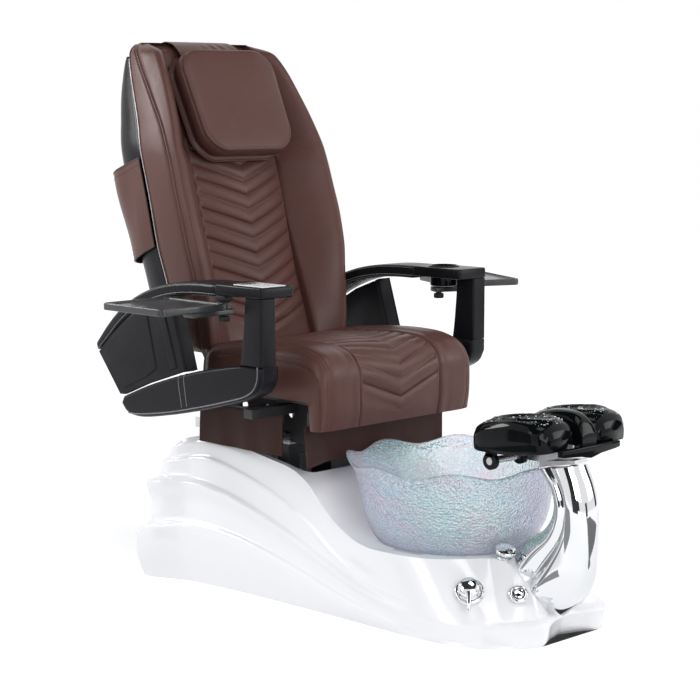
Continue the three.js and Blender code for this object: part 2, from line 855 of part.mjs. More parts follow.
function makeSwitchBezel() {
  return onFace(turned([
    [14.5, -18],
    [18, -18],
    [18, 2.5],
    [SWITCH_RADIUS, 2.5],
    [SWITCH_RADIUS, 5],
    [SWITCH_RADIUS - 5, 9],
    [15.5, 9],
    [14.5, 7],
    [14.5, -18],
  ]), SWITCH_PLACE);
}

function makeSwitchButton() {
  return onFace(turned([
    [0, -8],
    [13.6, -8],
    [13.6, 8],
    [11.5, 11],
    [0, 12.5],
  ]), SWITCH_PLACE);
}

// Stands a piece that is modelled about +Z on the shelf, leaning away from the basin.
function onShelf(geometry) {
  const { x, y } = SPRAYER_PLACE;
  const axis = vec(BASIN_Y - y, x, 0).normalize();
  const lean = new THREE.Matrix4().makeRotationAxis(axis, THREE.MathUtils.degToRad(SPRAYER_TILT));
  return geometry.applyMatrix4(lean).translate(x, y, SHELF_HEIGHT);
}

function makeSprayerHolder() {
  const { x, y } = SPRAYER_PLACE;
  const sleeve = onShelf(bar(13, vec(0, 0, -60), vec(0, 0, 8)));
  const collar = onShelf(bar(19, vec(0, 0, -8), vec(0, 0, 9), 20));
  const shelf = box([x - 40, x + 40], [y - 40, y + 40], [SHELF_HEIGHT - 40, SHELF_HEIGHT + SEAT_GAP]);
  return cut(join(sleeve, cut(collar, shelf)), onShelf(bar(10, vec(0, 0, -70), vec(0, 0, 20))));
}

function makeSprayer() {
  return onShelf(turned([
    [0, -50],
    [9, -50],
    [9, 11],
    [16, 15],
    [26, 19],
    [28, 24],
    [26, 28],
    [17, 32],
    [0, 34],
  ], 24));
}

// The holes in the shell that the controls' stems pass through.
function controlHoles() {
  const mixer = onFace(bar(17, vec(0, 0, -40), vec(0, 0, 20)), MIXER_PLACE);
  const airSwitch = onFace(bar(20, vec(0, 0, -40), vec(0, 0, 20)), SWITCH_PLACE);
  const sprayer = onShelf(bar(15, vec(0, 0, -40), vec(0, 0, 20)));
  return [mixer, airSwitch, sprayer];
}

// ---------------------------------------------------------------- seat

const PLATE_X = 196; // side plates of the seat frame
const SEAT_FRAME = { front: 76, rear: 440, low: 436, high: PAN_HEIGHT - SEAT_GAP };
const ARM_BAR_Y = [150, 400];
const POD_INNER = ARM_OUTER - POD_WIDTH;
const SKIRT_THICKNESS = 3;
const SKIRT_WAVE = 5;
const SIDE_SKIRT = { x: 252, front: 132, rear: 456, top: 482, low: 379 };
const FRONT_SKIRT = { y: 46, halfWidth: 258, top: 466, low: 368 };
const BEAM_Y = [112, 400];
const RECLINE_PLATE_X = 206;

function makeSeatFrame() {
  const { front, rear, low, high } = SEAT_FRAME;
  const parts = [];
  for (const side of [-1, 1]) {
    const runner = side * UPRIGHT_X;
    const half = RAIL_WIDTH / 2 - RAIL_WALL - RUN_GAP;
    const foot = RAIL_FOOT - SEAT_RISE + RAIL_WALL + RUN_GAP;
    parts.push(box([runner - half, runner + half], [front, 430], [foot, low + 8]));
    const outline = [
      [front, low],
      [front, high],
      [rear - 12, high],
      [rear - 6, 588],
      [rear + 18, 588],
      [rear + 26, 556],
      [rear + 6, low + 40],
      [rear - 4, low],
    ];
    const plate = sidePlate(outline, [side * PLATE_X - 3, side * PLATE_X + 3]);
    const holes = [160, 250, 340].map((y) => bar(14, vec(side * 180, y, 482), vec(side * 210, y, 482), 12));
    parts.push(cut(plate, ...holes));
    const pin = [side * (PLATE_X - 2), side * (RECLINE_PLATE_X + 12)];
    parts.push(bar(8, vec(pin[0], RECLINE_Y, RECLINE_Z), vec(pin[1], RECLINE_Y, RECLINE_Z)));
    for (const y of ARM_BAR_Y) {
      const reach = [side * (PLATE_X - 2), side * (POD_INNER - SEAT_GAP)].sort((a, b) => a - b);
      parts.push(box(reach, [y - 16, y + 16], [486, 510]));
    }
    const batten = side * (SIDE_SKIRT.x - 3 - SEAT_GAP);
    parts.push(box([batten - 3, batten + 3], [SIDE_SKIRT.front + 2, SIDE_SKIRT.rear - 30], [466, 490]));
  }
  for (const y of BEAM_Y) parts.push(box([-PLATE_X, PLATE_X], [y - 15, y + 15], [low, low + 26]));
  const { y } = FRONT_SKIRT;
  const rear0 = y + SKIRT_THICKNESS + SEAT_GAP;
  parts.push(box([-240, 240], [rear0, rear0 + 6], [448, 500]));
  for (const side of [-1, 1]) {
    parts.push(box([side * PLATE_X - 3, side * PLATE_X + 3], [rear0, front + 2], [448, 500]));
  }
  const lug = box([44, 76], [385, 415], [SEAT_DATUM + 11, low + 2]);
  return join(...parts, lug);
}

function makeSeatPan() {
  return softBox([-255, 255], [32, SEAT_REAR - 14], [PAN_HEIGHT, PAN_HEIGHT + PAN_THICKNESS], 5);
}

const SEAT_UNDER = PAN_HEIGHT + PAN_THICKNESS + SEAT_GAP;

// Side view of the cushion's top, from the back, over the front edge and down.
const SEAT_PATH = new THREE.CatmullRomCurve3(
  [
    [SEAT_REAR, 640],
    [330, 655],
    [200, 666],
    [96, SEAT_TOP],
    [26, SEAT_TOP - 6],
    [-18, SEAT_TOP - 24],
    [SEAT_FRONT + 4, 610],
    [SEAT_FRONT, 560],
    [SEAT_FRONT, 505],
    [SEAT_FRONT + 8, APRON_BOTTOM + 2],
  ].map(([y, z]) => vec(0, y, z)),
);
const SEAT_BACKING = new THREE.CatmullRomCurve3(
  [
    [SEAT_REAR, SEAT_UNDER],
    [330, SEAT_UNDER],
    [200, SEAT_UNDER],
    [96, SEAT_UNDER],
    [45, SEAT_UNDER],
    [22, SEAT_UNDER],
    [12, SEAT_UNDER - 2],
    [9, 520],
    [8, 495],
    [6, APRON_BOTTOM],
  ].map(([y, z]) => vec(0, y, z)),
  false,
  "centripetal",
);

// Cross-section of the seat cushion: share of the half width and share of the thickness.
const SEAT_SECTION = [
  [0.95, 0],
  [1, 0.5],
  [0.985, 0.8],
  [0.94, 0.96],
  [0.86, 1.03],
  [0.72, 1.035],
  [0.6, 1.0],
  [0.53, 0.95],
  [0.5, 0.995],
  [0.33, 1.01],
  [0, 1.02],
];
const SEAT_PANEL_SHARE = 0.53;
const SEAT_CHEVRON_RISE = 56;
const SEAT_CHEVRONS = [0.685, 0.755, 0.825, 0.895];

function makeSeatCushion() {
  const length = SEAT_PATH.getLength();
  const rows = [0, 0.02, 0.1, 0.2, 0.3, 0.4, 0.48, 0.54, 0.59, 0.635];
  for (const at of SEAT_CHEVRONS) rows.push(at - 0.025, at - 0.007, at, at + 0.007);
  rows.push(0.955, 0.98, 1);
  const whole = [...SEAT_SECTION.map(([x, h]) => [-x, h]), ...SEAT_SECTION.slice(0, -1).reverse()];
  const rings = rows.map((at) => {
    const leaning = ramp(at, 0.5, 0.64) * (1 - ramp(at, 0.94, 0.99));
    const pulled = 1 - 0.05 * (1 - ramp(at, 0, 0.05)) - 0.03 * ramp(at, 0.93, 1);
    const groove = SEAT_CHEVRONS.includes(at);
    const top = whole.map(([x, h]) => {
      const inPanel = Math.abs(x) < SEAT_PANEL_SHARE;
      const rise = leaning * SEAT_CHEVRON_RISE * Math.min(Math.abs(x) / SEAT_PANEL_SHARE, 1);
      const shifted = THREE.MathUtils.clamp(at - rise / length, 0, 1);
      const skin = SEAT_PATH.getPointAt(shifted);
      const backing = SEAT_BACKING.getPoint(SEAT_PATH.getUtoTmapping(shifted));
      const thick = skin.distanceTo(backing);
      const share = h * pulled - (groove && inPanel ? CHANNEL_DEPTH / thick : 0);
      return backing.lerp(skin, share).setX(x * SEAT_HALF_WIDTH * mix(pulled, 1, 0.6));
    });
    const base = [0.5, 0, -0.5].map((x) =>
      SEAT_BACKING.getPoint(SEAT_PATH.getUtoTmapping(at)).setX(x * SEAT_HALF_WIDTH),
    );
    return [...top, ...base];
  });
  return loft(rings);
}

// A hanging flap with soft waves: wide along one axis, thin along the other.
function flap(width, top, low, place) {
  const columns = 8;
  const ring = (z, share) => {
    const line = Array.from({ length: columns + 1 }, (_, i) => i / columns);
    const wave = (s) => SKIRT_WAVE * share * (1 + Math.sin(s * 9)) / 2;
    return [
      ...line.map((s) => place((s - 0.5) * width, wave(s), z)),
      ...line.reverse().map((s) => place((s - 0.5) * width, wave(s) + SKIRT_THICKNESS, z)),
    ];
  };
  const steps = 5;
  return loft(Array.from({ length: steps + 1 }, (_, i) => ring(mix(top, low, i / steps), i / steps)));
}

function makeSideSkirt(side) {
  const { x, front, rear, top, low } = SIDE_SKIRT;
  const middle = (front + rear) / 2;
  return flap(rear - front, top, low, (along, out, z) => vec(side * (x + out), middle + along, z));
}

function makeFrontSkirt() {
  const { y, halfWidth, top, low } = FRONT_SKIRT;
  return flap(2 * halfWidth, top, low, (along, out, z) => vec(along, y + SKIRT_THICKNESS - out, z));
}

// ---------------------------------------------------------------- arms

const POST_TOP = ARM_TOP - BLOCK_THICKNESS - SEAT_GAP;
const ARC_START = ARM_FRONT + BLOCK_LENGTH + SEAT_GAP;
const ARC_THICKNESS = 35;
const CUP = { y: ARM_FRONT + 108, radius: 38, wall: 3, depth: 54 };
const TRAY_PIVOT = { x: 398, y: 190 };
const TRAY = { thickness: 18, top: 785, reach: 214, length: 240, inner: 20, front: -40, corner: 16 };
const FAR_TRAY_SWING = 24; // degrees forward of straight out

const POD_TOP = [
  [ARM_FRONT, 634],
  [108, 633],
  [180, 621],
  [273, 602],
  [370, 577],
  [485, 541],
  [584, 503],
];
const POD_UNDER = [
  [594, 484],
  [572, 462],
  [525, 454],
  [398, 472],
  [274, 499],
  [155, 529],
  [90, 548],
  [46, 572],
  [30, 602],
];

function makePod(side) {
  const outline = [...smooth2(POD_TOP, 9), ...smooth2(POD_UNDER, 10)];
  const limits = [side * POD_INNER, side * ARM_OUTER].sort((a, b) => a - b);
  return sidePlate(outline, limits, 10);
}

function makePost(side) {
  const bottom = 634 + SEAT_GAP;
  const ring = (z, depth) => {
    const x = side * (ARM_OUTER - 1 - POST_WIDTH / 2);
    const y = ARM_FRONT + 2 + depth / 2;
    return roundedRect(POST_WIDTH / 2, depth / 2, 7).map(([a, b]) => vec(x + a, y + b, z));
  };
  return loft([ring(bottom, 76), ring(mix(bottom, POST_TOP, 0.5), 69), ring(POST_TOP, 62)]);
}

const blockX = (side) => [side * (ARM_OUTER - ARM_WIDTH), side * ARM_OUTER].sort((a, b) => a - b);

// The armrest's front block; the far one takes the cup holder, the near one the keypad.
function makeBlock(side) {
  const rear = ARM_FRONT + BLOCK_LENGTH;
  const block = softBox(blockX(side), [ARM_FRONT, rear], [ARM_TOP - BLOCK_THICKNESS, ARM_TOP], 6, 2);
  const x = side * (ARM_OUTER - ARM_WIDTH / 2);
  const [low, high] = [vec(x, CUP.y, ARM_TOP - 60), vec(x, CUP.y, ARM_TOP + 9)];
  const recess = side > 0
    ? bar(CUP.radius + SEAT_GAP, low, high, 28)
    : box([x - 40, x + 40], [ARM_FRONT + 12, ARM_FRONT + 124], [ARM_TOP - 2, ARM_TOP + 5]);
  return cut(block, recess);
}

function makeKeypad() {
  const x = -(ARM_OUTER - ARM_WIDTH / 2);
  const y = [ARM_FRONT + 12 + SEAT_GAP, ARM_FRONT + 124 - SEAT_GAP];
  return softBox([x - 39.6, x + 39.6], y, [ARM_TOP - 2 + SEAT_GAP, ARM_TOP + 1.5], 0.8, 1);
}

function makeCup() {
  const { radius, wall, depth, y } = CUP;
  return turned([
    [0, ARM_TOP - depth],
    [radius - 4, ARM_TOP - depth],
    [radius, ARM_TOP - depth + 5],
    [radius, ARM_TOP + SEAT_GAP],
    [radius + 5, ARM_TOP + SEAT_GAP],
    [radius + 5, ARM_TOP + 2],
    [radius + 2, ARM_TOP + 3.5],
    [radius - wall, ARM_TOP + 3.5],
    [radius - wall, ARM_TOP - depth + 6],
    [radius - wall - 4, ARM_TOP - depth + wall],
    [0, ARM_TOP - depth + wall],
  ], 28).translate(ARM_OUTER - ARM_WIDTH / 2, y, 0);
}

const ARC_LINE = [
  [ARC_START, 812],
  [290, 811],
  [370, 804],
  [450, 787],
  [530, 757],
  [605, 714],
  [665, 665],
  [716, 618],
];

function makeArc(side) {
  const steps = 11;
  const line = smooth2(ARC_LINE, steps);
  const x = side * (ARM_OUTER - ARM_WIDTH / 2);
  const rings = line.map(([y, z], i) => {
    const [before, after] = [line[Math.max(i - 1, 0)], line[Math.min(i + 1, steps)]];
    const along = i === 0 ? vec(0, 1, 0) : vec(0, after[0] - before[0], after[1] - before[1]).normalize();
    const up = vec(0, -along.z, along.y);
    const share = i / steps;
    const halfWidth = mix(52, 42, ramp(share, 0.5, 1));
    const halfDepth = (ARC_THICKNESS / 2) * (1 - 0.25 * ramp(share, 0.85, 1));
    return roundedRect(halfWidth, halfDepth, 9).map(([a, b]) => vec(x + a, y, z).addScaledVector(up, b));
  });
  return loft(rings);
}

// The moulded panel that closes the arm behind, between the pod and the rear arch.
function makeShield(side) {
  const outline = [
    [334, 594],
    [392, 778],
    [450, 764],
    [520, 738],
    [590, 699],
    [645, 656],
    [694, 612],
    [604, 506],
    [584, 507],
    [485, 546],
    [400, 573],
  ];
  const x = (a, b) => [side * a, side * b].sort((p, q) => p - q);
  const skin = sidePlate(outline, x(398, 410), 2);
  const lip = sidePlate([[334, 594], [392, 778], [408, 773], [350, 589]], x(364, 406), 2);
  const rearLip = sidePlate([[604, 506], [694, 612], [682, 622], [590, 511]], x(372, 406), 2);
  const fold = sidePlate([[362, 600], [420, 768], [452, 758], [392, 590]], x(404, 414), 3);
  return join(skin, lip, rearLip, fold);
}

function makeTrayBracket(side) {
  const { x, y } = TRAY_PIVOT;
  const top = ARM_TOP - BLOCK_THICKNESS - SEAT_GAP;
  const housing = softBox([side * x - 15, side * x + 15], [y - 18, y + 16], [TRAY.top + RUN_GAP, top], 3);
  const pin = bar(8, vec(side * x, y, TRAY.top - TRAY.thickness - 20), vec(side * x, y, TRAY.top + 5));
  const [knobLow, knobHigh] = [TRAY.top - TRAY.thickness - 32, TRAY.top - TRAY.thickness - 18];
  const knob = bar(14, vec(side * x, y, knobLow), vec(side * x, y, knobHigh), 20);
  return join(housing, pin, knob);
}

// A side tray with a raised rim, on an arm that turns about the bracket's pin.
function makeTray(side) {
  const { x, y } = TRAY_PIVOT;
  const { thickness, top, reach, length, inner, front, corner } = TRAY;
  const low = top - thickness;
  const centre = [inner + reach / 2, front + length / 2];
  const plan = roundedRect(reach / 2, length / 2, corner, 2);
  const shape = new THREE.Shape(plan.map(([a, b]) => new THREE.Vector2(centre[0] + a, centre[1] + b)));
  const settings = { depth: thickness - 4, bevelSize: 2, bevelThickness: 2, bevelOffset: -2, bevelSegments: 1 };
  const plate = new THREE.ExtrudeGeometry(shape, settings).translate(0, 0, low + 2);
  const half = { x: reach / 2 - 8, y: length / 2 - 8 };
  const around = (middle, reached) => [middle - reached, middle + reached];
  const pan = softBox(around(centre[0], half.x), around(centre[1], half.y), [top - 5, top + 30], 5);
  const arm = softBox([-18, 118], [-20, 20], [low - 14, low + 2], 3);
  const boss = bar(16, vec(0, 0, low - 12), vec(0, 0, top), 16);
  const bridge = box([0, 40], [-14, 14], [low - 8, low + 6]);
  const bore = bar(8.6, vec(0, 0, low - 40), vec(0, 0, top + 20), 16);
  const whole = cut(join(cut(plate, pan), arm, boss, bridge), bore);
  const placed = side < 0 ? mirrored(whole) : whole.rotateZ(THREE.MathUtils.degToRad(-FAR_TRAY_SWING));
  return placed.translate(side * x, y, 0);
}

// ---------------------------------------------------------------- back

// Depth of the back at each height: the centre panel, the crest of the side bolsters, the flat rear
// of the padding, the rear of the shell, and the half width.
const panelDepth = tableCurve([
  [676, 470],
  [727, 488],
  [807, 516],
  [880, 536],
  [977, 560],
  [1089, 591],
  [1211, 638],
  [1330, 694],
  [1416, 738],
  [1442, 756],
]);
const bolsterDepth = tableCurve([
  [676, 408],
  [727, 412],
  [859, 428],
  [958, 454],
  [1043, 482],
  [1128, 510],
  [1213, 544],
  [1304, 590],
  [1376, 634],
  [1427, 680],
  [1442, 706],
]);
const rearDepth = tableCurve([
  [676, 545],
  [797, 574],
  [896, 598],
  [993, 616],
  [1140, 662],
  [1232, 696],
  [1309, 733],
  [1393, 771],
  [1442, 792],
]);
const shellDepth = tableCurve([
  [690, 690],
  [768, 722],
  [875, 747],
  [1000, 778],
  [1126, 812],
  [1211, 832],
  [1309, 844],
  [1348, 840],
  [1385, 832],
  [1404, 822],
]);
const backHalf = tableCurve([
  [676, 258],
  [797, 266],
  [896, 277],
  [993, 282],
  [1140, 278],
  [1232, 262],
  [1309, 246],
  [1393, 228],
  [1427, 214],
  [1442, 200],
]);

const BACK_CHEVRON_RISE = 54;
const BACK_CHEVRON_COUNT = 11;
const BACK_CHEVRON_START = 704;
// Across the front of the bolster: distance in from the side, and share of the way back to the panel.
const BOLSTER_SECTION = [[3, 0.34], [14, 0.12], [34, 0], [58, 0.03], [84, 0.36], [106, 0.78]];
const PANEL_SHARES = [-0.93, -0.47, 0, 0.47, 0.93];
const HEADREST_WIDENING = 20; // the panel is this much wider behind the pillow, each side

function makeBackCushion() {
  const rows = [BACK_BOTTOM, 688];
  const grooves = Array.from(
    { length: BACK_CHEVRON_COUNT },
    (_, k) => BACK_CHEVRON_START + k * CHEVRON_PITCH,
  );
  for (const z of grooves) rows.push(z - 7, z, z + 7);
  rows.push(1150, 1200, 1260, 1320, 1370, 1402, 1422, 1434, BACK_TOP + 2);
  const rings = rows.map((row) => {
    const leaning = ramp(row, 676, 704) * (1 - ramp(row, 1118, 1200));
    const closing = 0.5 * ramp(row, 1408, BACK_TOP + 2) ** 2;
    const groove = grooves.includes(row) ? CHANNEL_DEPTH : 0;
    const half = backHalf(row) - 14 * ramp(row, 1425, 1442) - 8 * (1 - ramp(row, 676, 688));
    const rear = rearDepth(row);
    const panelHalf = PANEL_HALF_WIDTH + HEADREST_WIDENING * ramp(row, 1110, 1170);
    const bolster = (half - panelHalf) / (backHalf(row) - PANEL_HALF_WIDTH);
    const front = (x, y, z = row) => vec(x, mix(y, rear, closing), z);
    const side = BOLSTER_SECTION.map(([inset, share]) => {
      const crest = bolsterDepth(row);
      return front(half - inset * bolster, mix(crest, panelDepth(row), share));
    });
    const seam = front(panelHalf, panelDepth(row) + 7);
    const panel = PANEL_SHARES.map((share) => {
      const z = row + leaning * BACK_CHEVRON_RISE * Math.abs(share);
      return front(share * panelHalf, panelDepth(z) - 9 * (1 - share * share) + groove, z);
    });
    const flank = [
      vec(half - 2, mix(mix(bolsterDepth(row), rear, 0.55), rear, closing), row),
      vec(half - 3, rear - 14, row),
      vec(half - 12, rear, row),
    ];
    const right = [seam, ...side.reverse(), ...flank];
    const left = right.map((p) => vec(-p.x, p.y, p.z)).reverse();
    return [...left, ...panel, ...right];
  });
  return loft(rings);
}

const SHELL_ROWS = [690, 704, 740, 800, 870, 950, 1030, 1110, 1190, 1260, 1315, 1355, 1385, 1404];
const TRIM = { width: 12, depth: 17 };
const SHELL_SEAM = 2.5; // between the padding's flat rear and the shell's front edge

// Half of the shell's section, from its front edge round to the rear centre.
function shellHalf(z, inset) {
  const front = rearDepth(z) + SHELL_SEAM;
  const lift = 1 - 0.55 * (1 - ramp(z, 690, 716)) * (inset ? 0.6 : 1);
  const rear = mix(front + 40, shellDepth(z), lift) - inset;
  const half = backHalf(z) - TRIM.width - 3 - inset;
  const step = half + (inset ? 0 : 7);
  const ledge = front + TRIM.depth + 3;
  return [
    vec(half, front, z),
    vec(half, ledge - 1, z),
    vec(step, ledge, z),
    vec(step - 3, mix(ledge, rear, 0.4), z),
    vec(step - 18, mix(ledge, rear, 0.75), z),
    vec(step - 52, mix(ledge, rear, 0.95), z),
    vec(step * 0.42, rear, z),
  ];
}

function shellSolid(rows, inset, forward = 0) {
  return loft(rows.map((z) => {
    const right = shellHalf(z, inset);
    right[0].y -= forward;
    const left = right.map((p) => vec(-p.x, p.y, p.z)).reverse();
    return [...right, ...left];
  }));
}

function makeBackShell() {
  const hollow = shellSolid([698, 716, 800, 870, 950, 1030, 1110, 1190, 1260, 1315, 1355, 1385, 1396], 7, 20);
  return cut(shellSolid(SHELL_ROWS, 0), hollow);
}

// A strip of bright trim in the step between the padding and the shell.
function makeTrim(side) {
  const rows = [694, 760, 840, 920, 1000, 1080, 1160, 1230, 1290, 1340, 1380, 1404];
  return loft(rows.map((z) => {
    const outer = backHalf(z) - 3;
    const front = rearDepth(z) + RUN_GAP;
    const corners = [
      [outer - TRIM.width + 1.5, front],
      [outer - 3, front],
      [outer, front + 4],
      [outer, front + TRIM.depth - 4],
      [outer - 3, front + TRIM.depth],
      [outer - TRIM.width + 1.5, front + TRIM.depth],
    ];
    return corners.map(([x, y]) => vec(side * x, y, z));
  }));
}

// The magazine pocket: a band of upholstery round the lower back of the shell, loose at its top.
function makePocket() {
  const thickness = 3;
  const ring = (share, outer) => {
    const right = shellHalf(mix(900, 1135, share), 0).slice(1);
    const loose = mix(1.5, 30, ramp(share, 0.15, 1));
    return right.map((p, i) => {
      const back = i / (right.length - 1);
      const away = mix(8, loose + 8, ramp(back, 0.15, 0.8)) + (outer ? thickness : 0);
      const flare = vec(1 - back, back, 0).normalize().multiplyScalar(away);
      return p.add(flare).setZ(p.z - mix(0.4, 0.36, share) * Math.max(p.y - rearDepth(p.z), 0));
    });
  };
  const rows = [0, 0.2, 0.4, 0.6, 0.8, 1];
  const band = rows.map((share) => {
    const outer = ring(share, true);
    const inner = ring(share, false);
    const whole = (half) => [...half, ...half.map((p) => vec(-p.x, p.y, p.z)).reverse()];
    return [...whole(outer), ...whole(inner).reverse()];
  });
  return loft(band);
}

// Two legs from the recline pins up to a plate under the shell, and the lever of the recline rod.
const LEVER = { length: 68, y: RECLINE_Y, z: RECLINE_Z - 68, pin: 6 };

function makeBackFrame() {
  const plateTop = 690 - SEAT_GAP;
  const outline = [
    ...arcPoints(RECLINE_Y, RECLINE_Z, 19, 150, 330, 8),
    [500, 606],
    [606, plateTop - 30],
    [624, plateTop],
    [560, plateTop],
    [548, plateTop - 26],
  ];
  const parts = [];
  for (const side of [-1, 1]) {
    const x = side * RECLINE_PLATE_X;
    const hole = bar(8.6, vec(x - 9, RECLINE_Y, RECLINE_Z), vec(x + 9, RECLINE_Y, RECLINE_Z), 20);
    parts.push(cut(sidePlate(outline, [x - 3, x + 3]), hole));
    const arm = [
      [RECLINE_Y - 9, RECLINE_Z - 16],
      [RECLINE_Y + 9, RECLINE_Z - 16],
      [LEVER.y + 7, LEVER.z - 10],
      [LEVER.y - 7, LEVER.z - 10],
    ];
    parts.push(sidePlate(arm, [side * 14 - 3, side * 14 + 3]));
  }
  parts.push(box([-RECLINE_PLATE_X, RECLINE_PLATE_X], [566, 618], [plateTop - 6, plateTop]));
  const reach = RECLINE_PLATE_X - 20;
  parts.push(bar(11, vec(-reach, RECLINE_Y, RECLINE_Z - 8), vec(reach, RECLINE_Y, RECLINE_Z - 8)));
  for (const side of [-1, 1]) {
    const x = [side * 184, side * (RECLINE_PLATE_X - 1)].sort((a, b) => a - b);
    parts.push(box(x, [560, 576], [plateTop - 60, plateTop - 2]));
    const arm = [
      [RECLINE_Y - 10, RECLINE_Z - 19],
      [RECLINE_Y + 10, RECLINE_Z - 19],
      [500, 592],
      [572, 640],
      [572, 664],
      [480, 600],
    ];
    parts.push(sidePlate(arm, [side * 187 - 3, side * 187 + 3]));
  }
  parts.push(bar(LEVER.pin, vec(-16, LEVER.y, LEVER.z), vec(16, LEVER.y, LEVER.z)));
  return join(...parts);
}

function arcPoints(y, z, radius, from, to, steps) {
  return Array.from({ length: steps + 1 }, (_, i) => {
    const angle = THREE.MathUtils.degToRad(mix(from, to, i / steps));
    return [y + radius * Math.cos(angle), z + radius * Math.sin(angle)];
  });
}

const ACTUATOR = { front: 176, rear: 352, radius: 18, bore: 10.5, rod: 9 };

function makeReclineActuator() {
  const { front, rear, radius, bore } = ACTUATOR;
  const tube = bar(radius, vec(0, front, LEVER.z), vec(0, rear, LEVER.z), 20);
  const hollow = bar(bore, vec(0, front + 20, LEVER.z), vec(0, rear + 5, LEVER.z), 16);
  const motor = softBox([20, 70], [front + 2, front + 62], [LEVER.z - 20, LEVER.z + 22], 6);
  const foot = box([-7, 7], [BEAM_Y[0] + 18, front + 6], [LEVER.z - 22, LEVER.z + 10]);
  const bridge = box([8, 30], [front + 6, front + 50], [LEVER.z - 14, LEVER.z + 10]);
  return cut(join(tube, motor, foot, bridge), hollow);
}

function makeReclineRod() {
  const { front, rear, rod } = ACTUATOR;
  const shaft = bar(rod, vec(0, front + 100, LEVER.z), vec(0, LEVER.y - 20, LEVER.z), 16);
  const eye = softBox([-9, 9], [LEVER.y - 30, LEVER.y + 18], [LEVER.z - 16, LEVER.z + 26], 3);
  const slot = softBox([-20, 20], [LEVER.y - 9, LEVER.y + 9], [LEVER.z - 9, LEVER.z + 20], 5);
  return cut(join(shaft, eye), slot);
}

const SLIDE_MOTOR = { front: 190, rear: 345, x: 60, z: RAIL_FOOT + 19, radius: 15, bore: 8.5, rod: 7 };

function makeSlideActuator() {
  const { front, rear, x, z, radius, bore } = SLIDE_MOTOR;
  const tube = bar(radius, vec(x, front, z), vec(x, rear, z), 20);
  const hollow = bar(bore, vec(x, front + 12, z), vec(x, rear + 5, z), 16);
  const motor = softBox([x - 62, x - 12], [front, front + 56], [RAIL_FOOT, RAIL_FOOT + 34], 6);
  const foot = box([x - 16, x + 16], [front, front + 24], [RAIL_FOOT, z]);
  return cut(join(tube, motor, foot), hollow);
}

function makeSlideRod() {
  const { front, x, z, rod } = SLIDE_MOTOR;
  return bar(rod, vec(x, front + 22, z), vec(x, 385 - SEAT_GAP, z), 16);
}

// ---------------------------------------------------------------- massage unit inside the back

const UNIT_X = 118;
const UNIT_LINE = [740, 1330]; // lowest and highest point of the guide rails

// Two straight rails, tied by a bar across each end.
function makeGuideRails() {
  const parts = [];
  for (const side of [-1, 1]) {
    parts.push(loft(UNIT_LINE.map((z) => {
      const y = guideDepth(z);
      const x = side * UNIT_X;
      return [vec(x - 7, y - 7, z), vec(x + 7, y - 7, z), vec(x + 7, y + 7, z), vec(x - 7, y + 7, z)];
    })));
  }
  for (const z of [UNIT_LINE[0] + 8, UNIT_LINE[1] - 8]) {
    const y = guideDepth(z);
    parts.push(box([-UNIT_X, UNIT_X], [y - 5, y + 5], [z - 8, z + 8]));
  }
  return join(...parts);
}

const CARRIAGE_HEIGHT = 900;
const GUIDE_SLOPE = (rearDepth(UNIT_LINE[1]) - rearDepth(UNIT_LINE[0])) / (UNIT_LINE[1] - UNIT_LINE[0]);
const guideDepth = (z) => rearDepth(UNIT_LINE[0]) + 48 + GUIDE_SLOPE * (z - UNIT_LINE[0]);

// A carriage with four kneading wheels that rides on the two guide rails.
function makeCarriage() {
  const parts = [softBox([-106, 106], [-16, 18], [-45, 45], 6, 2)];
  for (const x of [-60, 60]) {
    for (const z of [-30, 30]) parts.push(bar(24, vec(x - 11, -16, z), vec(x + 11, -16, z), 12));
  }
  for (const side of [-1, 1]) {
    const shoe = cut(box([side * UNIT_X - 15, side * UNIT_X + 15], [-15, 15], [-30, 30]),
      box([side * UNIT_X - 9, side * UNIT_X + 9], [-9, 9], [-40, 40]));
    parts.push(shoe);
  }
  const lean = Math.atan(GUIDE_SLOPE);
  return join(...parts).rotateX(-lean).translate(0, guideDepth(CARRIAGE_HEIGHT), CARRIAGE_HEIGHT);
}

// ---------------------------------------------------------------- headrest

const PILLOW = { width: 330, height: 284, thickness: 62, lean: 24.6, y: 619, z: 1272 };

function makePillow() {
  const { width, height, thickness, lean, y, z } = PILLOW;
  const [steps, sides] = [10, 20];
  const rings = Array.from({ length: steps + 1 }, (_, i) => {
    const v = -Math.cos((i / steps) * Math.PI);
    const rim = Math.sqrt(Math.max(1 - Math.abs(v) ** 5, 0));
    const half = (width / 2) * (0.9 + 0.04 * v) * mix(0.86, 1, rim) + 8;
    const deep = (thickness / 2) * mix(0.3, 1, rim);
    return Array.from({ length: sides }, (_, k) => {
      const angle = (k / sides) * 2 * Math.PI;
      const [c, s] = [Math.cos(angle), Math.sin(angle)];
      const x = half * Math.sign(c) * Math.abs(c) ** 0.42;
      return vec(x, deep * Math.sign(s) * Math.abs(s) ** 0.7, (v * height) / 2);
    });
  });
  return loft(rings).rotateX(-THREE.MathUtils.degToRad(lean)).translate(0, y, z);
}

const STRAP_HALF_WIDTH = 100;
const STRAP_THICKNESS = 3;

// A wide strap over the top of the back that the pillow hangs from.
function makeStrap() {
  const line = smooth2([[714, 1424], [730, 1440], [752, 1450], [780, 1451], [800, 1440], [812, 1424]], 12);
  const rings = line.map(([y, z], i) => {
    const [before, after] = [line[Math.max(i - 1, 0)], line[Math.min(i + 1, 12)]];
    const along = vec(0, after[0] - before[0], after[1] - before[1]).normalize();
    const up = vec(0, -along.z, along.y);
    const [side, thin] = [STRAP_HALF_WIDTH, STRAP_THICKNESS / 2];
    const corners = [[-side, -thin], [side, -thin], [side, thin], [-side, thin]];
    return corners.map(([a, b]) => vec(a, y, z).addScaledVector(up, b));
  });
  return loft(rings);
}

// ---------------------------------------------------------------- inside the base

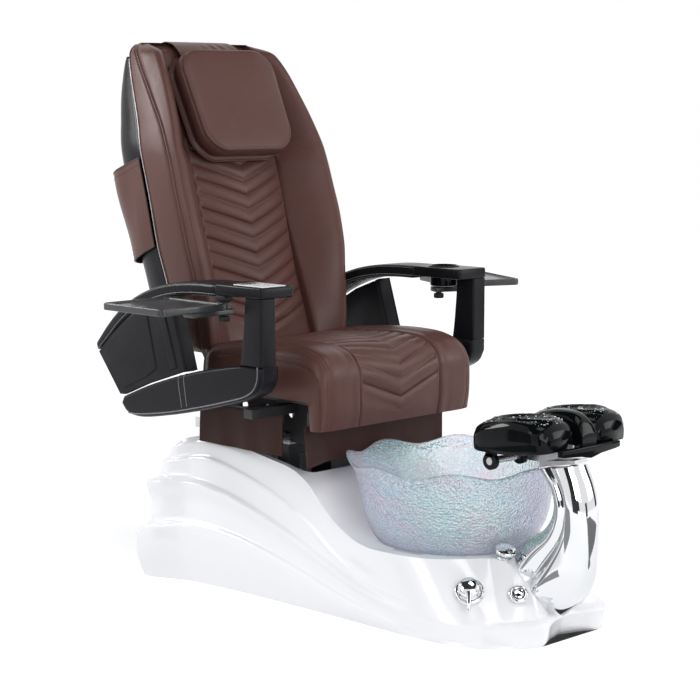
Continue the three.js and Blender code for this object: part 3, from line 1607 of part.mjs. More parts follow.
function makeControlBox() {
  return softBox([-118, -28], [245, 385], [TUBE + SEAT_GAP, TUBE + 90], 8);
}

// ---------------------------------------------------------------- assembly

const finish = (color, roughness, metalness = 0, more = {}) =>
  new THREE.MeshStandardMaterial({ color, roughness, metalness, ...more });

const gelcoat = finish(0xf4f4f6, 0.25);
const leather = finish(0x4a2a28, 0.5);
const blackVinyl = finish(0x17181b, 0.45);
const blackShell = finish(0x121316, 0.3);
const blackSteel = finish(0x1c1d1f, 0.5, 0.6);
const chrome = finish(0xd8dade, 0.08, 1);
const steel = finish(0xa9abae, 0.35, 0.9);
const gloss = finish(0x0a0b0d, 0.08);
const glass = finish(0xdfe8f2, 0.1, 0, { transparent: true, opacity: 0.4 });
const rubber = finish(0x202020, 0.9);
const silver = finish(0xc9ccd2, 0.25, 0.6);
const membrane = finish(0xe9e9ea, 0.35);
const darkPlastic = finish(0x25272a, 0.6);

const chair = new THREE.Group();
const base = new THREE.Group();
const seat = new THREE.Group(); // all that rides on the slide rails
const back = new THREE.Group();
chair.add(base, seat);
seat.add(back);
seat.position.z = SEAT_RISE;

function add(group, name, geometry, material) {
  const mesh = new THREE.Mesh(geometry, material);
  mesh.name = name;
  group.add(mesh);
}

add(base, "base_shell", makeBaseShell(), gelcoat);
add(base, "base_frame", makeBaseFrame(), blackSteel);
add(base, "control_box", makeControlBox(), darkPlastic);
add(base, "basin", makeBasin(), glass);
add(base, "basin_gasket", makeGasket(), rubber);
add(base, "drain_flange", makeDrain(), chrome);
add(base, "drain_stopper", makeStopper(), chrome);
add(base, "jet_motor", makeJetMotor(), darkPlastic);
add(base, "jet_impeller", makeImpeller(), darkPlastic);
add(base, "jet_cover", makeJetCover(), chrome);
add(base, "pillar", makePillar(), chrome);
add(base, "footrest_bracket", makeFootrestBracket(), steel);
add(base, "footrest_saddle", makeSaddle(), gloss);
add(base, "footrest_cowl", makeCowl(), gloss);
add(base, "mixer_plate", makeMixerPlate(), chrome);
add(base, "mixer_lever", makeMixerLever(), chrome);
add(base, "air_switch_bezel", makeSwitchBezel(), chrome);
add(base, "air_switch_button", makeSwitchButton(), chrome);
add(base, "sprayer_holder", makeSprayerHolder(), chrome);
add(base, "sprayer", makeSprayer(), chrome);
add(base, "slide_actuator", makeSlideActuator(), darkPlastic);
add(base, "slide_rod", makeSlideRod(), steel);
add(seat, "seat_frame", makeSeatFrame(), blackSteel);
add(seat, "seat_pan", makeSeatPan(), darkPlastic);
add(seat, "seat_cushion", makeSeatCushion(), leather);
add(seat, "skirt_front", makeFrontSkirt(), leather);
add(seat, "recline_actuator", makeReclineActuator(), darkPlastic);
add(seat, "recline_rod", makeReclineRod(), steel);
add(back, "back_frame", makeBackFrame(), blackSteel);
add(back, "back_shell", makeBackShell(), blackShell);
add(back, "back_cushion", makeBackCushion(), leather);
add(back, "back_pocket", makePocket(), leather);
add(back, "massage_rails", makeGuideRails(), steel);
add(back, "massage_carriage", makeCarriage(), darkPlastic);
add(back, "headrest_strap", makeStrap(), leather);
add(back, "headrest_pillow", makePillow(), leather);
add(seat, "keypad", makeKeypad(), membrane);
add(seat, "cup_holder", makeCup(), darkPlastic);

for (const [word, side] of [["near", -1], ["far", 1]]) {
  add(base, `slide_rail_${word}`, makeRail(side), steel);
  add(base, `foot_pad_${word}`, makeFootPad(side), gloss);
  add(seat, `skirt_${word}`, makeSideSkirt(side), leather);
  add(seat, `arm_pod_${word}`, makePod(side), blackVinyl);
  add(seat, `arm_post_${word}`, makePost(side), blackShell);
  add(seat, `arm_block_${word}`, makeBlock(side), blackShell);
  add(seat, `arm_arch_${word}`, makeArc(side), blackVinyl);
  add(seat, `arm_shield_${word}`, makeShield(side), blackShell);
  add(seat, `tray_bracket_${word}`, makeTrayBracket(side), blackSteel);
  add(seat, `tray_${word}`, makeTray(side), blackShell);
  add(back, `back_trim_${word}`, makeTrim(side), silver);
}

export default chair;
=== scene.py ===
"""The looks of a pedicure spa chair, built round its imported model.

Shapes are worked out in millimetres, in the row frame (+Z up, the sitter faces -Y), and put into
the scene in metres.
"""
import math

import bmesh
import bpy
import numpy as np
from mathutils import Matrix, Vector, noise
from mathutils.bvhtree import BVHTree


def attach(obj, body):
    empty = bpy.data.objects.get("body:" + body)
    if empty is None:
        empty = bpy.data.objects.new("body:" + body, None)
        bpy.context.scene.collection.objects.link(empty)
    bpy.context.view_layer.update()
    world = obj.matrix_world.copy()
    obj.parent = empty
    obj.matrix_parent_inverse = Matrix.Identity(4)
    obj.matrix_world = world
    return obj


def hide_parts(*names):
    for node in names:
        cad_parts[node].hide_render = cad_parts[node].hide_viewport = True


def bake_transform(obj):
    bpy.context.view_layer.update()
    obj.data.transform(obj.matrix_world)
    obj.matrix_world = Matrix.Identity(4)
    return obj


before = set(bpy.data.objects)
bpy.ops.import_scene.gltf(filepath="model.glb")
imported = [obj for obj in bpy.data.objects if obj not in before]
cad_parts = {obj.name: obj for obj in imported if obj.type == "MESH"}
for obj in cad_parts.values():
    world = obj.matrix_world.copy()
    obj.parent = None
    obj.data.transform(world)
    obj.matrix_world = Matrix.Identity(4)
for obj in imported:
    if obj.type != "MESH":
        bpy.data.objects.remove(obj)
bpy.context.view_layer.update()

MM = 0.001
SIDES = (("near", -1), ("far", 1))

# ---------------------------------------------------------------- camera

CAMERA_PLACE = (-3.515, -3.397, 1.295)
CAMERA_TILT = 82.4  # degrees up from straight down
CAMERA_TURN = -44.8
LENS = 97.7
SENSOR_WIDTH = 36

bpy.context.scene.view_settings.view_transform = "Standard"
camera_data = bpy.data.cameras.new("camera")
camera_data.lens = LENS
camera_data.sensor_width = SENSOR_WIDTH
camera = bpy.data.objects.new("camera", camera_data)
camera.location = CAMERA_PLACE
camera.rotation_euler = (math.radians(CAMERA_TILT), 0, math.radians(CAMERA_TURN))
bpy.context.scene.collection.objects.link(camera)
bpy.context.scene.camera = camera

# ---------------------------------------------------------------- floor, background and light

SOFT_LIGHT = (0.95, 0.97, 1, 1)
SOFT_LIGHT_STRENGTH = 0.5
WHITE = (1, 1, 1, 1)
FLOOR_RADIUS = 14
GLOW_REACH = (1.0, 4.5)  # metres from the middle, where the floor's own white starts and ends growing
GLOW_SHARE = (0.36, 0.7)


def seen_directly(nodes, links):
    """1 for what the camera, reflections and glass see, and 0 for the light on the pieces."""
    path = nodes.new("ShaderNodeLightPath")
    seen = path.outputs["Is Camera Ray"]
    for ray in ("Is Glossy Ray", "Is Transmission Ray"):
        either = nodes.new("ShaderNodeMath")
        either.operation = "MAXIMUM"
        links.new(seen, either.inputs[0])
        links.new(path.outputs[ray], either.inputs[1])
        seen = either.outputs[0]
    return seen


def map_range(nodes, links, value, low, high, out_low, out_high):
    """A value carried over from one range to another."""
    node = nodes.new("ShaderNodeMapRange")
    limits = (("From Min", low), ("From Max", high), ("To Min", out_low), ("To Max", out_high))
    for key, number in limits:
        node.inputs[key].default_value = number
    links.new(value, node.inputs["Value"])
    return node.outputs["Result"]


def matt_look(name, shade, roughness=0.5):
    """A plain grey material without shine."""
    look = bpy.data.materials.new(name)
    look.use_nodes = True
    shader = look.node_tree.nodes["Principled BSDF"]
    shader.inputs["Base Color"].default_value = (shade, shade, shade, 1)
    shader.inputs["Roughness"].default_value = roughness
    shader.inputs["Specular IOR Level"].default_value = 0
    return look


def studio_world():
    """White for what the camera and reflections see, and a plain soft light for the rest."""
    world = bpy.data.worlds.new("studio")
    bpy.context.scene.world = world
    world.use_nodes = True
    nodes, links = world.node_tree.nodes, world.node_tree.links
    nodes.clear()
    light, white = nodes.new("ShaderNodeBackground"), nodes.new("ShaderNodeBackground")
    light.inputs["Color"].default_value = SOFT_LIGHT
    light.inputs["Strength"].default_value = SOFT_LIGHT_STRENGTH
    white.inputs["Color"].default_value = WHITE
    choice = nodes.new("ShaderNodeMixShader")
    links.new(seen_directly(nodes, links), choice.inputs[0])
    links.new(light.outputs[0], choice.inputs[1])
    links.new(white.outputs[0], choice.inputs[2])
    links.new(choice.outputs[0], nodes.new("ShaderNodeOutputWorld").inputs["Surface"])


def studio_floor():
    """A wide pale floor that looks white to the camera but still takes the shadow."""
    bpy.ops.mesh.primitive_circle_add(vertices=64, radius=FLOOR_RADIUS, fill_type="NGON")
    floor = bpy.context.object
    floor.name = "floor"
    look = matt_look("floor", 0.8, 0.9)
    nodes, links = look.node_tree.nodes, look.node_tree.links
    glow = nodes.new("ShaderNodeEmission")
    glow.inputs["Color"].default_value = WHITE
    # The lamps fall off, so the floor's own share of the white grows with the distance.
    away = nodes.new("ShaderNodeVectorMath")
    away.operation = "LENGTH"
    links.new(nodes.new("ShaderNodeTexCoord").outputs["Object"], away.inputs[0])
    share = map_range(nodes, links, away.outputs["Value"], *GLOW_REACH, *GLOW_SHARE)
    strength = nodes.new("ShaderNodeMath")
    strength.operation = "MULTIPLY"
    links.new(seen_directly(nodes, links), strength.inputs[0])
    links.new(share, strength.inputs[1])
    links.new(strength.outputs[0], glow.inputs["Strength"])
    both = nodes.new("ShaderNodeAddShader")
    links.new(nodes["Principled BSDF"].outputs[0], both.inputs[0])
    links.new(glow.outputs[0], both.inputs[1])
    links.new(both.outputs[0], nodes["Material Output"].inputs["Surface"])
    floor.data.materials.append(look)


def aim(made, place, target, axis):
    """Puts an object in its place, with one of its own axes towards a target."""
    made.location = place
    made.rotation_euler = (Vector(target) - Vector(place)).to_track_quat(axis, "Y").to_euler()


def lamp(name, place, target, power, size):
    data = bpy.data.lights.new(name, "AREA")
    data.energy = power
    data.shape = "RECTANGLE"
    data.size, data.size_y = size
    made = bpy.data.objects.new(name, data)
    aim(made, place, target, "-Z")
    bpy.context.scene.collection.objects.link(made)


def card(name, place, target, size, shade=0.06):
    """A card out of the picture that only reflections see, which gives gloss and chrome their darks."""
    bpy.ops.mesh.primitive_plane_add(size=1)
    made = bpy.context.object
    made.name = name
    made.scale = (*size, 1)
    aim(made, place, target, "Z")
    made.data.materials.append(matt_look(name, shade))
    made.visible_camera = made.visible_diffuse = made.visible_transmission = made.visible_shadow = False


studio_world()
studio_floor()
lamp("left", (-3.3, 0.5, 1.9), (0, 0, 0.9), 24, (1.3, 2.4))
lamp("front", (-2.0, -4.4, 2.0), (0, -0.2, 0.5), 72, (2.4, 2.0))
lamp("right", (2.8, -3.2, 1.9), (0, -0.2, 0.4), 44, (1.6, 2.4))
lamp("top", (0.1, -1.3, 3.4), (0, -0.6, 0.3), 27, (2.0, 1.4))
lamp("rim", (-1.35, 1.9, 1.95), (-0.25, 0.7, 1.25), 24, (0.5, 1.0))
card("card_behind_camera", (-4.4, -4.6, 1.7), (0, 0, 0.8), (4.2, 3.4))
card("card_above", (-0.5, -0.5, 4.6), (0, 0, 0), (7.5, 7.5))
card("card_right", (4.6, -2.4, 1.2), (0, -0.4, 0.5), (1.2, 2.6))
card("card_low_left", (-2.0, -2.1, 0.32), (0, -0.6, 0.32), (1.3, 0.64))
card("card_low_front", (0.5, -2.7, 0.3), (0, -0.6, 0.3), (0.42, 0.6))
card("card_left_floor", (-1.45, -0.1, 0.02), (-1.45, -0.1, 1), (1.5, 1.3), 0.3)
card("card_front_floor", (0.7, -1.7, 0.02), (0.7, -1.7, 1), (0.8, 1.3), 0.2)
card("card_side_wall", (-2.1, 0.5, 0.5), (0, -0.6, 0.3), (0.9, 0.9), 0.3)

# ---------------------------------------------------------------- numbers and curves


def mix(a, b, t):
    return a + (b - a) * t


def ramp(x, low, high):
    t = np.clip((x - low) / (high - low), 0, 1)
    return t * t * (3 - 2 * t)


def table_curve(pairs):
    """A smooth function through sorted (position, value) pairs, without overshoot."""
    at, value = (np.array(column, float) for column in zip(*pairs))
    step = np.diff(at)
    slope = np.diff(value) / step
    tangent = np.empty(len(at))
    tangent[0], tangent[-1] = slope[0], slope[-1]
    for i in range(1, len(at) - 1):
        a, b = slope[i - 1], slope[i]
        tangent[i] = 0 if a * b <= 0 else 2 * a * b / (a + b)

    def evaluate(x):
        x = np.clip(x, at[0], at[-1])
        i = np.clip(np.searchsorted(at, x, side="right") - 1, 0, len(at) - 2)
        s = (x - at[i]) / step[i]
        return (
            (2 * s**3 - 3 * s**2 + 1) * value[i]
            + (s**3 - 2 * s**2 + s) * step[i] * tangent[i]
            + (3 * s**2 - 2 * s**3) * value[i + 1]
            + (s**3 - s**2) * step[i] * tangent[i + 1]
        )

    return evaluate


def curve_through(points):
    """A centripetal Catmull-Rom curve through points, as a function of 0..1."""
    points = [np.array(p, float) for p in points]
    last = len(points) - 1

    def at(t):
        along = min(max(t, 0.0), 1.0) * last
        i = min(int(along), last - 1)
        w = along - i
        p1, p2 = points[i], points[i + 1]
        p0 = points[i - 1] if i else 2 * p1 - p2
        p3 = points[i + 2] if i + 2 <= last else 2 * p2 - p1
        d = [max(np.linalg.norm(b - a) ** 0.5, 1e-4) for a, b in ((p0, p1), (p1, p2), (p2, p3))]
        t1 = ((p1 - p0) / d[0] - (p2 - p0) / (d[0] + d[1]) + (p2 - p1) / d[1]) * d[1]
        t2 = ((p2 - p1) / d[1] - (p3 - p1) / (d[1] + d[2]) + (p3 - p2) / d[2]) * d[1]
        c2, c3 = -3 * p1 + 3 * p2 - 2 * t1 - t2, 2 * p1 - 2 * p2 + t1 + t2
        return p1 + t1 * w + c2 * w**2 + c3 * w**3

    return at


def run_along(points):
    """The distance along a line of points, from its start to each of them."""
    return np.concatenate([[0], np.cumsum(np.linalg.norm(np.diff(points, axis=0), axis=1))])


def line_through(points, steps, samples=400):
    """Evenly spaced points on a smooth line through a few points."""
    at = curve_through(points)
    dense = np.array([at(i / samples) for i in range(samples + 1)])
    run = run_along(dense)
    wanted = np.linspace(0, run[-1], steps + 1)
    return np.stack([np.interp(wanted, run, dense[:, k]) for k in range(dense.shape[1])], axis=1)


def turns(count):
    """Angles evenly spaced round a full turn."""
    return [2 * math.pi * k / count for k in range(count)]


def bell(x, middle, width):
    """A bell curve's height: 1 at its middle, and near 0 at twice its width."""
    return math.exp(-(((x - middle) / width) ** 2))


def rounded_rect(half_a, half_b, radius, steps=4, centre=(0, 0)):
    """Corner arcs of a rectangle, as (a, b) pairs round its centre."""
    pairs = []
    for k, (sa, sb) in enumerate(((1, 1), (-1, 1), (-1, -1), (1, -1))):
        for i in range(steps + 1):
            angle = (k + i / steps) * math.pi / 2
            a = sa * (half_a - radius) + radius * math.cos(angle)
            b = sb * (half_b - radius) + radius * math.sin(angle)
            pairs.append((centre[0] + a, centre[1] + b))
    return pairs


def wander(points, size, seed=0.0):
    """Smooth noise from -1 to 1 at each point, with lumps of that size in millimetres."""
    return np.array([noise.noise(Vector(p / size) + Vector((seed, seed, seed))) for p in points])


# ---------------------------------------------------------------- meshes

STRAND_SIDES = 10
THREAD_SIDES = 6
# A stitch's thickness along its length, from one end to the other.
THREAD_SHAPE = ((-0.5, 0.3), (-0.38, 1.0), (0.0, 1.15), (0.38, 1.0), (0.5, 0.3))


def loft(rings, caps=True, loop=False):
    """Points and faces of a skin through closed rings of equal count."""
    rings = np.asarray(rings, float)
    count, around = rings.shape[:2]
    faces = []
    for i in range(count if loop else count - 1):
        near, far = i * around, ((i + 1) % count) * around
        for j in range(around):
            k = (j + 1) % around
            faces.append((near + j, near + k, far + k, far + j))
    if caps and not loop:
        faces.append(tuple(range(around))[::-1])
        faces.append(tuple(range((count - 1) * around, count * around)))
    return rings.reshape(-1, 3), faces


def new_object(name, points, faces, smooth=True, angle=50):
    mesh = bpy.data.meshes.new(name)
    mesh.from_pydata((np.asarray(points) * MM).tolist(), [], faces)
    made = bpy.data.objects.new(name, mesh)
    bpy.context.scene.collection.objects.link(made)
    work = bmesh.new()
    work.from_mesh(mesh)
    bmesh.ops.remove_doubles(work, verts=work.verts, dist=1e-6)
    bmesh.ops.dissolve_degenerate(work, edges=work.edges, dist=1e-7)
    bmesh.ops.recalc_face_normals(work, faces=work.faces)
    work.to_mesh(mesh)
    work.free()
    if smooth:
        smooth_shade(made, angle)
    return made


def smooth_shade(made, angle=50):
    """Smooth shading, with a sharp edge wherever faces meet at more than this angle."""
    mesh = made.data
    mesh.polygons.foreach_set("use_smooth", [True] * len(mesh.polygons))
    mesh.set_sharp_from_angle(angle=math.radians(angle))


def dress(made, material, body, replaced=()):
    """Gives a piece its material and its body, and hides the CAD nodes that it stands for."""
    made.data.materials.clear()
    made.data.materials.append(material)
    if body:
        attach(made, body)
    if replaced:
        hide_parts(*replaced)
    return made


def apply_modifiers(made):
    depsgraph = bpy.context.evaluated_depsgraph_get()
    mesh = bpy.data.meshes.new_from_object(made.evaluated_get(depsgraph))
    made.modifiers.clear()
    made.data = mesh
    return made


def boolean(made, *tools, operation="DIFFERENCE"):
    for tool in tools:
        change = made.modifiers.new("boolean", "BOOLEAN")
        change.operation = operation
        change.solver = "EXACT"
        change.object = tool
        apply_modifiers(made)
        bpy.data.objects.remove(tool)
    return made


def soften(made):
    made.modifiers.new("rounding", "SUBSURF").levels = 1
    return apply_modifiers(made)


def bevel(made, width, segments=3, angle=35):
    change = made.modifiers.new("edges", "BEVEL")
    change.width = width * MM
    change.segments = segments
    change.limit_method = "ANGLE"
    change.angle_limit = math.radians(angle)
    change.harden_normals = False
    return apply_modifiers(made)


def turned(name, pairs, centre=(0, 0, 0), axis=(0, 0, 1), sides=48):
    """A turned piece about an axis through centre, from (radius, height) pairs."""
    turn = Vector((0, 0, 1)).rotation_difference(Vector(axis)).to_matrix()
    rings = []
    for radius, height in pairs:
        spots = [Vector((radius * math.cos(a), radius * math.sin(a), height)) for a in turns(sides)]
        rings.append([tuple(Vector(centre) + turn @ spot) for spot in spots])
    capped = pairs[0][0] > 0.01 or pairs[-1][0] > 0.01
    return new_object(name, *loft(rings, caps=capped, loop=pairs[0] == pairs[-1]), angle=40)


# Where a point (a, b) of an outline comes at height h, when the outline is pushed out along an axis.
PUSHED_ALONG = {
    "X": lambda a, b, h: (h, a, b),
    "Y": lambda a, b, h: (a, h, b),
    "Z": lambda a, b, h: (a, b, h),
}


def plate(name, outline, low, high, axis="X", edge=0.0):
    """A flat outline pushed out along an axis, with rounded edges."""
    place = PUSHED_ALONG[axis]
    rings = [[place(a, b, h) for a, b in outline] for h in (low, high)]
    made = new_object(name, *loft(rings), smooth=False)
    if edge:
        bevel(made, edge)
    smooth_shade(made, 40)
    return made


def block(name, x, y, z, edge):
    low, high = zip(x, y, z)
    outline = [(low[0], low[1]), (high[0], low[1]), (high[0], high[1]), (low[0], high[1])]
    return plate(name, outline, low[2], high[2], "Z", edge)


def ring_about(centre, up, side, radius, count):
    """Points of a circle about a centre, in the plane of two directions."""
    return [tuple(centre + (up * math.cos(a) + side * math.sin(a)) * radius) for a in turns(count)]


def tube_along(name, points, radius, closed=False):
    """A round strand along points."""
    points = [Vector(p) for p in points]
    count = len(points)
    rings = []
    up = None
    for i, p in enumerate(points):
        before = points[(i - 1) % count] if closed or i else points[0]
        after = points[(i + 1) % count] if closed or i < count - 1 else points[-1]
        way = (after - before).normalized()
        if up is None:
            up = way.orthogonal().normalized()
        up = (up - way * up.dot(way)).normalized()
        rings.append(ring_about(p, up, way.cross(up), radius, STRAND_SIDES))
    return new_object(name, *loft(rings, loop=closed))


def joined(name, parts):
    """Several pieces as one mesh."""
    work = bmesh.new()
    for part in parts:
        part.data.transform(part.matrix_world)
        work.from_mesh(part.data)
    mesh = bpy.data.meshes.new(name)
    work.to_mesh(mesh)
    work.free()
    made = bpy.data.objects.new(name, mesh)
    bpy.context.scene.collection.objects.link(made)
    for part in parts:
        bpy.data.objects.remove(part)
    smooth_shade(made, 45)
    return made


def stitches(name, points, normals, pitch=7.0, length=5.0, radius=0.6, lift=0.3):
    """A row of short threads along a line that lies on a surface."""
    points = np.asarray(points, float)
    normals = np.asarray(normals, float)
    run = run_along(points)

    def between(values, s):
        return Vector([np.interp(s, run, values[:, k]) for k in range(3)])

    vertices, faces = [], []
    for middle in np.arange(pitch, run[-1] - pitch, pitch):
        rings = []
        for share, swell in THREAD_SHAPE:
            s = middle + share * length
            p, ahead = between(points, s), between(points, s + 0.5)
            n = between(normals, s).normalized()
            side = (ahead - p).normalized().cross(n)
            p = p + n * (lift - 0.5 * abs(share))
            rings.append(ring_about(p, n, side, radius * swell, THREAD_SIDES))
        found, skin = loft(rings)
        faces += [tuple(i + len(vertices) for i in face) for face in skin]
        vertices += found.tolist()
    return new_object(name, vertices, faces, angle=80)


# ---------------------------------------------------------------- materials


def shaded(color, share):
    return tuple(c * share for c in color)


class Look:
    """A node material that grows round its Principled shader."""

    def __init__(self, name, color, roughness, **sockets):
        self.material = bpy.data.materials.new(name)
        self.material.use_nodes = True
        self.nodes = self.material.node_tree.nodes
        self.links = self.material.node_tree.links
        self.shader = self.nodes["Principled BSDF"]
        self.shader.inputs["Base Color"].default_value = (*color, 1)
        self.shader.inputs["Roughness"].default_value = roughness
        for key, value in sockets.items():
            self.shader.inputs[key.replace("_", " ")].default_value = value
        self.place = self.nodes.new("ShaderNodeTexCoord").outputs["Object"]
        self.normal = None

    def texture(self, kind, scale, stretch=None):
        node = self.nodes.new(kind)
        node.inputs["Scale"].default_value = scale
        source = self.place
        if stretch:
            mapping = self.nodes.new("ShaderNodeMapping")
            mapping.inputs["Scale"].default_value = stretch
            self.links.new(self.place, mapping.inputs["Vector"])
            source = mapping.outputs["Vector"]
        self.links.new(source, node.inputs["Vector"])
        return node

    def clouds(self, scale, detail, stretch=None):
        """Smooth noise."""
        node = self.texture("ShaderNodeTexNoise", scale, stretch)
        node.inputs["Detail"].default_value = detail
        return node.outputs["Fac"]

    def cells(self, scale):
        """Round dimples, side by side."""
        return self.texture("ShaderNodeTexVoronoi", scale).outputs["Distance"]

    def levels(self, value, low, high, out_low, out_high):
        return map_range(self.nodes, self.links, value, low, high, out_low, out_high)

    def tint(self, factor, other):
        """Mixes the base colour towards another, where the factor is high."""
        node = self.nodes.new("ShaderNodeMix")
        node.data_type = "RGBA"
        base = self.shader.inputs["Base Color"]
        if base.is_linked:
            self.links.new(base.links[0].from_socket, node.inputs[6])
        else:
            node.inputs[6].default_value = base.default_value
        node.inputs[7].default_value = (*other, 1)
        self.links.new(factor, node.inputs[0])
        self.links.new(node.outputs[2], base)

    def rough(self, factor, low, high):
        self.links.new(self.levels(factor, 0.3, 0.7, low, high), self.shader.inputs["Roughness"])

    def bump(self, height, distance, strength):
        node = self.nodes.new("ShaderNodeBump")
        node.inputs["Strength"].default_value = strength
        node.inputs["Distance"].default_value = distance
        self.links.new(height, node.inputs["Height"])
        if self.normal is not None:
            self.links.new(self.normal, node.inputs["Normal"])
        self.normal = node.outputs["Normal"]
        self.links.new(self.normal, self.shader.inputs["Normal"])


def leather_look(name, color, grain=1.0, roughness=(0.3, 0.42), specular=0.24):
    """Soft upholstery: pebbled grain, faint creases, uneven sheen and darker, worn patches."""
    look = Look(name, color, 0.45, Specular_IOR_Level=specular)
    patches = look.clouds(7, 3)
    fine = look.clouds(160, 4)
    look.tint(look.levels(patches, 0.35, 0.75, 0, 0.55), shaded(color, 0.8))
    look.tint(look.levels(fine, 0.5, 0.8, 0, 0.3), tuple(min(c * 1.35, 1) for c in color))
    look.rough(patches, *roughness)
    look.bump(look.clouds(34, 5, (1, 1, 0.55)), 0.0011 * grain, 0.55)
    look.bump(look.cells(620), 0.00022 * grain, 0.5)
    return look.material


def plastic_look(name, color, roughness, texture=0.0, coat=0.0, specular=0.5):
    """Moulded plastic: faint smears in its shine and colour, and a fine texture in millimetres."""
    look = Look(
        name, color, roughness, Specular_IOR_Level=specular, Coat_Weight=coat, Coat_Roughness=0.06,
    )
    smears = look.clouds(9, 4)
    look.rough(smears, roughness * 0.8, min(roughness * 1.35 + 0.02, 1))
    look.tint(look.levels(smears, 0.4, 0.8, 0, 0.4), tuple(min(c * 1.25 + 0.003, 1) for c in color))
    if texture:
        look.bump(look.clouds(900, 3), texture * MM, 0.6)
    return look.material


def metal_look(name, color, roughness, brushed=None):
    look = Look(name, color, roughness, Metallic=1.0)
    look.rough(look.clouds(12, 4), roughness * 0.6, roughness * 1.6)
    if brushed:
        look.bump(look.clouds(30, 3, brushed), 0.00012, 0.5)
    return look.material


def gelcoat_look():
    """Sprayed white gelcoat: high gloss, with faint clouds and a faint ripple."""
    white = (0.905, 0.905, 0.925)
    look = Look("gelcoat", white, 0.16, Coat_Weight=0.6, Coat_Roughness=0.04, Specular_IOR_Level=0.5)
    cloud = look.clouds(3, 3)
    look.tint(look.levels(cloud, 0.4, 0.75, 0, 0.5), (0.87, 0.87, 0.9))
    look.rough(cloud, 0.13, 0.22)
    look.bump(look.clouds(14, 2), 0.0012, 0.12)
    look.bump(look.clouds(420, 2), 0.00004, 0.4)
    return look.material


def glass_look():
    """Hammered clear glass with a pearly coat."""
    look = Look(
        "glass", (0.9, 0.95, 1.0), 0.06,
        Transmission_Weight=0.8, IOR=1.45, Thin_Film_Thickness=385, Thin_Film_IOR=1.7,
    )
    look.tint(look.levels(look.clouds(11, 4), 0.5, 0.62, 0, 0.5), (1.0, 0.83, 0.93))
    look.tint(look.levels(look.clouds(17, 3, (1, 1, 1.6)), 0.52, 0.66, 0, 0.55), (0.78, 0.9, 1.0))
    look.bump(look.cells(150), 0.0026, 1.0)
    look.bump(look.clouds(60, 3), 0.003, 0.6)
    return look.material


# The drops' near-white base colour, only partly clear, is a painted highlight that makes them read as
# bright glints.
def water_glint_look():
    look = Look("water_painted_glint", (0.95, 0.97, 1.0), 0.02, Transmission_Weight=0.4, IOR=1.33)
    look.rough(look.clouds(40, 2), 0.01, 0.04)
    return look.material


brown = (0.097, 0.042, 0.0345)
leather = leather_look("leather", brown)
# The skirts' leather is the same brown darkened to 0.46: painted shade for where they hang under the
# seat.
leather_painted_shade = leather_look("leather_painted_shade", shaded(brown, 0.46), specular=0.1)
thread = plastic_look("thread", shaded(brown, 0.55), 0.6, texture=0.2)
piping = leather_look("piping", shaded(brown, 0.7), grain=0.4)
black_vinyl = leather_look("black_vinyl", (0.009, 0.009, 0.012), 0.5, (0.22, 0.32), 0.14)
vinyl_edge = plastic_look("vinyl_edge", (0.16, 0.16, 0.175), 0.34, texture=0.05)
black_shell = plastic_look("black_shell", (0.008, 0.008, 0.01), 0.24, texture=0.05, specular=0.14)
shield_plastic = plastic_look("shield_plastic", (0.011, 0.011, 0.014), 0.5, texture=0.2, specular=0.16)
tray_plastic = plastic_look("tray_plastic", (0.028, 0.029, 0.031), 0.3, texture=0.1, coat=0.2)
gloss = plastic_look("gloss_black", (0.002, 0.003, 0.0035), 0.06, specular=0.13)
dark_plastic = plastic_look("dark_plastic", (0.016, 0.016, 0.019), 0.42, texture=0.12, specular=0.25)
membrane = plastic_look("membrane", (0.8, 0.81, 0.82), 0.3, texture=0.02, coat=0.3)
silver = plastic_look("silver", (0.5, 0.5, 0.52), 0.22, coat=0.4)
steel = metal_look("steel", (0.62, 0.62, 0.63), 0.3, brushed=(1, 30, 1))
black_steel = plastic_look("black_steel", (0.02, 0.02, 0.022), 0.42, texture=0.15)
chrome = metal_look("chrome", (0.74, 0.75, 0.77), 0.045)
rubber = plastic_look("rubber", (0.012, 0.012, 0.012), 0.75, texture=0.2)
gelcoat = gelcoat_look()
glass = glass_look()
water_painted_glint = water_glint_look()

# ---------------------------------------------------------------- base shell

SHELL_WALL = 7
SHELF_HEIGHT = 185
DECK_HEIGHT = 391
BASIN_Y = -237
BASIN_CENTRE = (0, BASIN_Y, 0)
BASIN_FOOT = 171
BASIN_WALL = 6
RIM_HEIGHT = 390
RIM_RADIUS = 272
BASIN_GAP = 4  # between the basin's wall and the shell's recess
RIM_GAP = 12
DISH_RADIUS = 212
WELL_RADIUS = 140
SLOT_Y = 287  # middle of the slot in the deck, under the seat
SLOT_HALF_WIDTH = 214
SLOT_HALF_LENGTH = 195
SLOT_CORNER = 40

# Half outlines from the front centre round to the rear centre.
floor_line = curve_through([
    (0, -573), (60, -592), (108, -613), (150, -598), (195, -562), (228, -521), (255, -450), (268, -350),
    (270, -200), (270, -60), (272, 69), (277, 220), (285, 344), (304, 473), (345, 575), (335, 606),
    (180, 600), (0, 595),
])
deck_line = curve_through([
    (0, -566), (45, -566), (80, -548), (88, -500), (104, -445), (160, -400), (212, -345), (236, -270),
    (240, -160), (236, -50), (232, 69), (232, 220), (234, 344), (238, 473), (262, 540), (240, 562),
    (130, 566), (0, 566),
])
deck_height = table_curve([
    (-600, 80), (-570, 108), (-535, 142), (-490, 176), (-462, SHELF_HEIGHT), (-180, SHELF_HEIGHT),
    (-133, 191), (-54, 222), (13, 270), (67, 318), (129, 346), (200, 358), (300, 374),
    (431, DECK_HEIGHT), (500, 382), (545, 360), (568, 335),
])
wave_low = table_curve([
    (-330, 8), (-235, 25), (-106, 51), (28, 87), (167, 121), (312, 148), (425, 157), (542, 146),
    (606, 112),
])
wave_middle = table_curve([
    (-613, 66), (-560, 54), (-430, 50), (-330, 53), (-161, 83), (-29, 130), (107, 183), (249, 228),
    (352, 254), (473, 269), (567, 263), (606, 238),
])
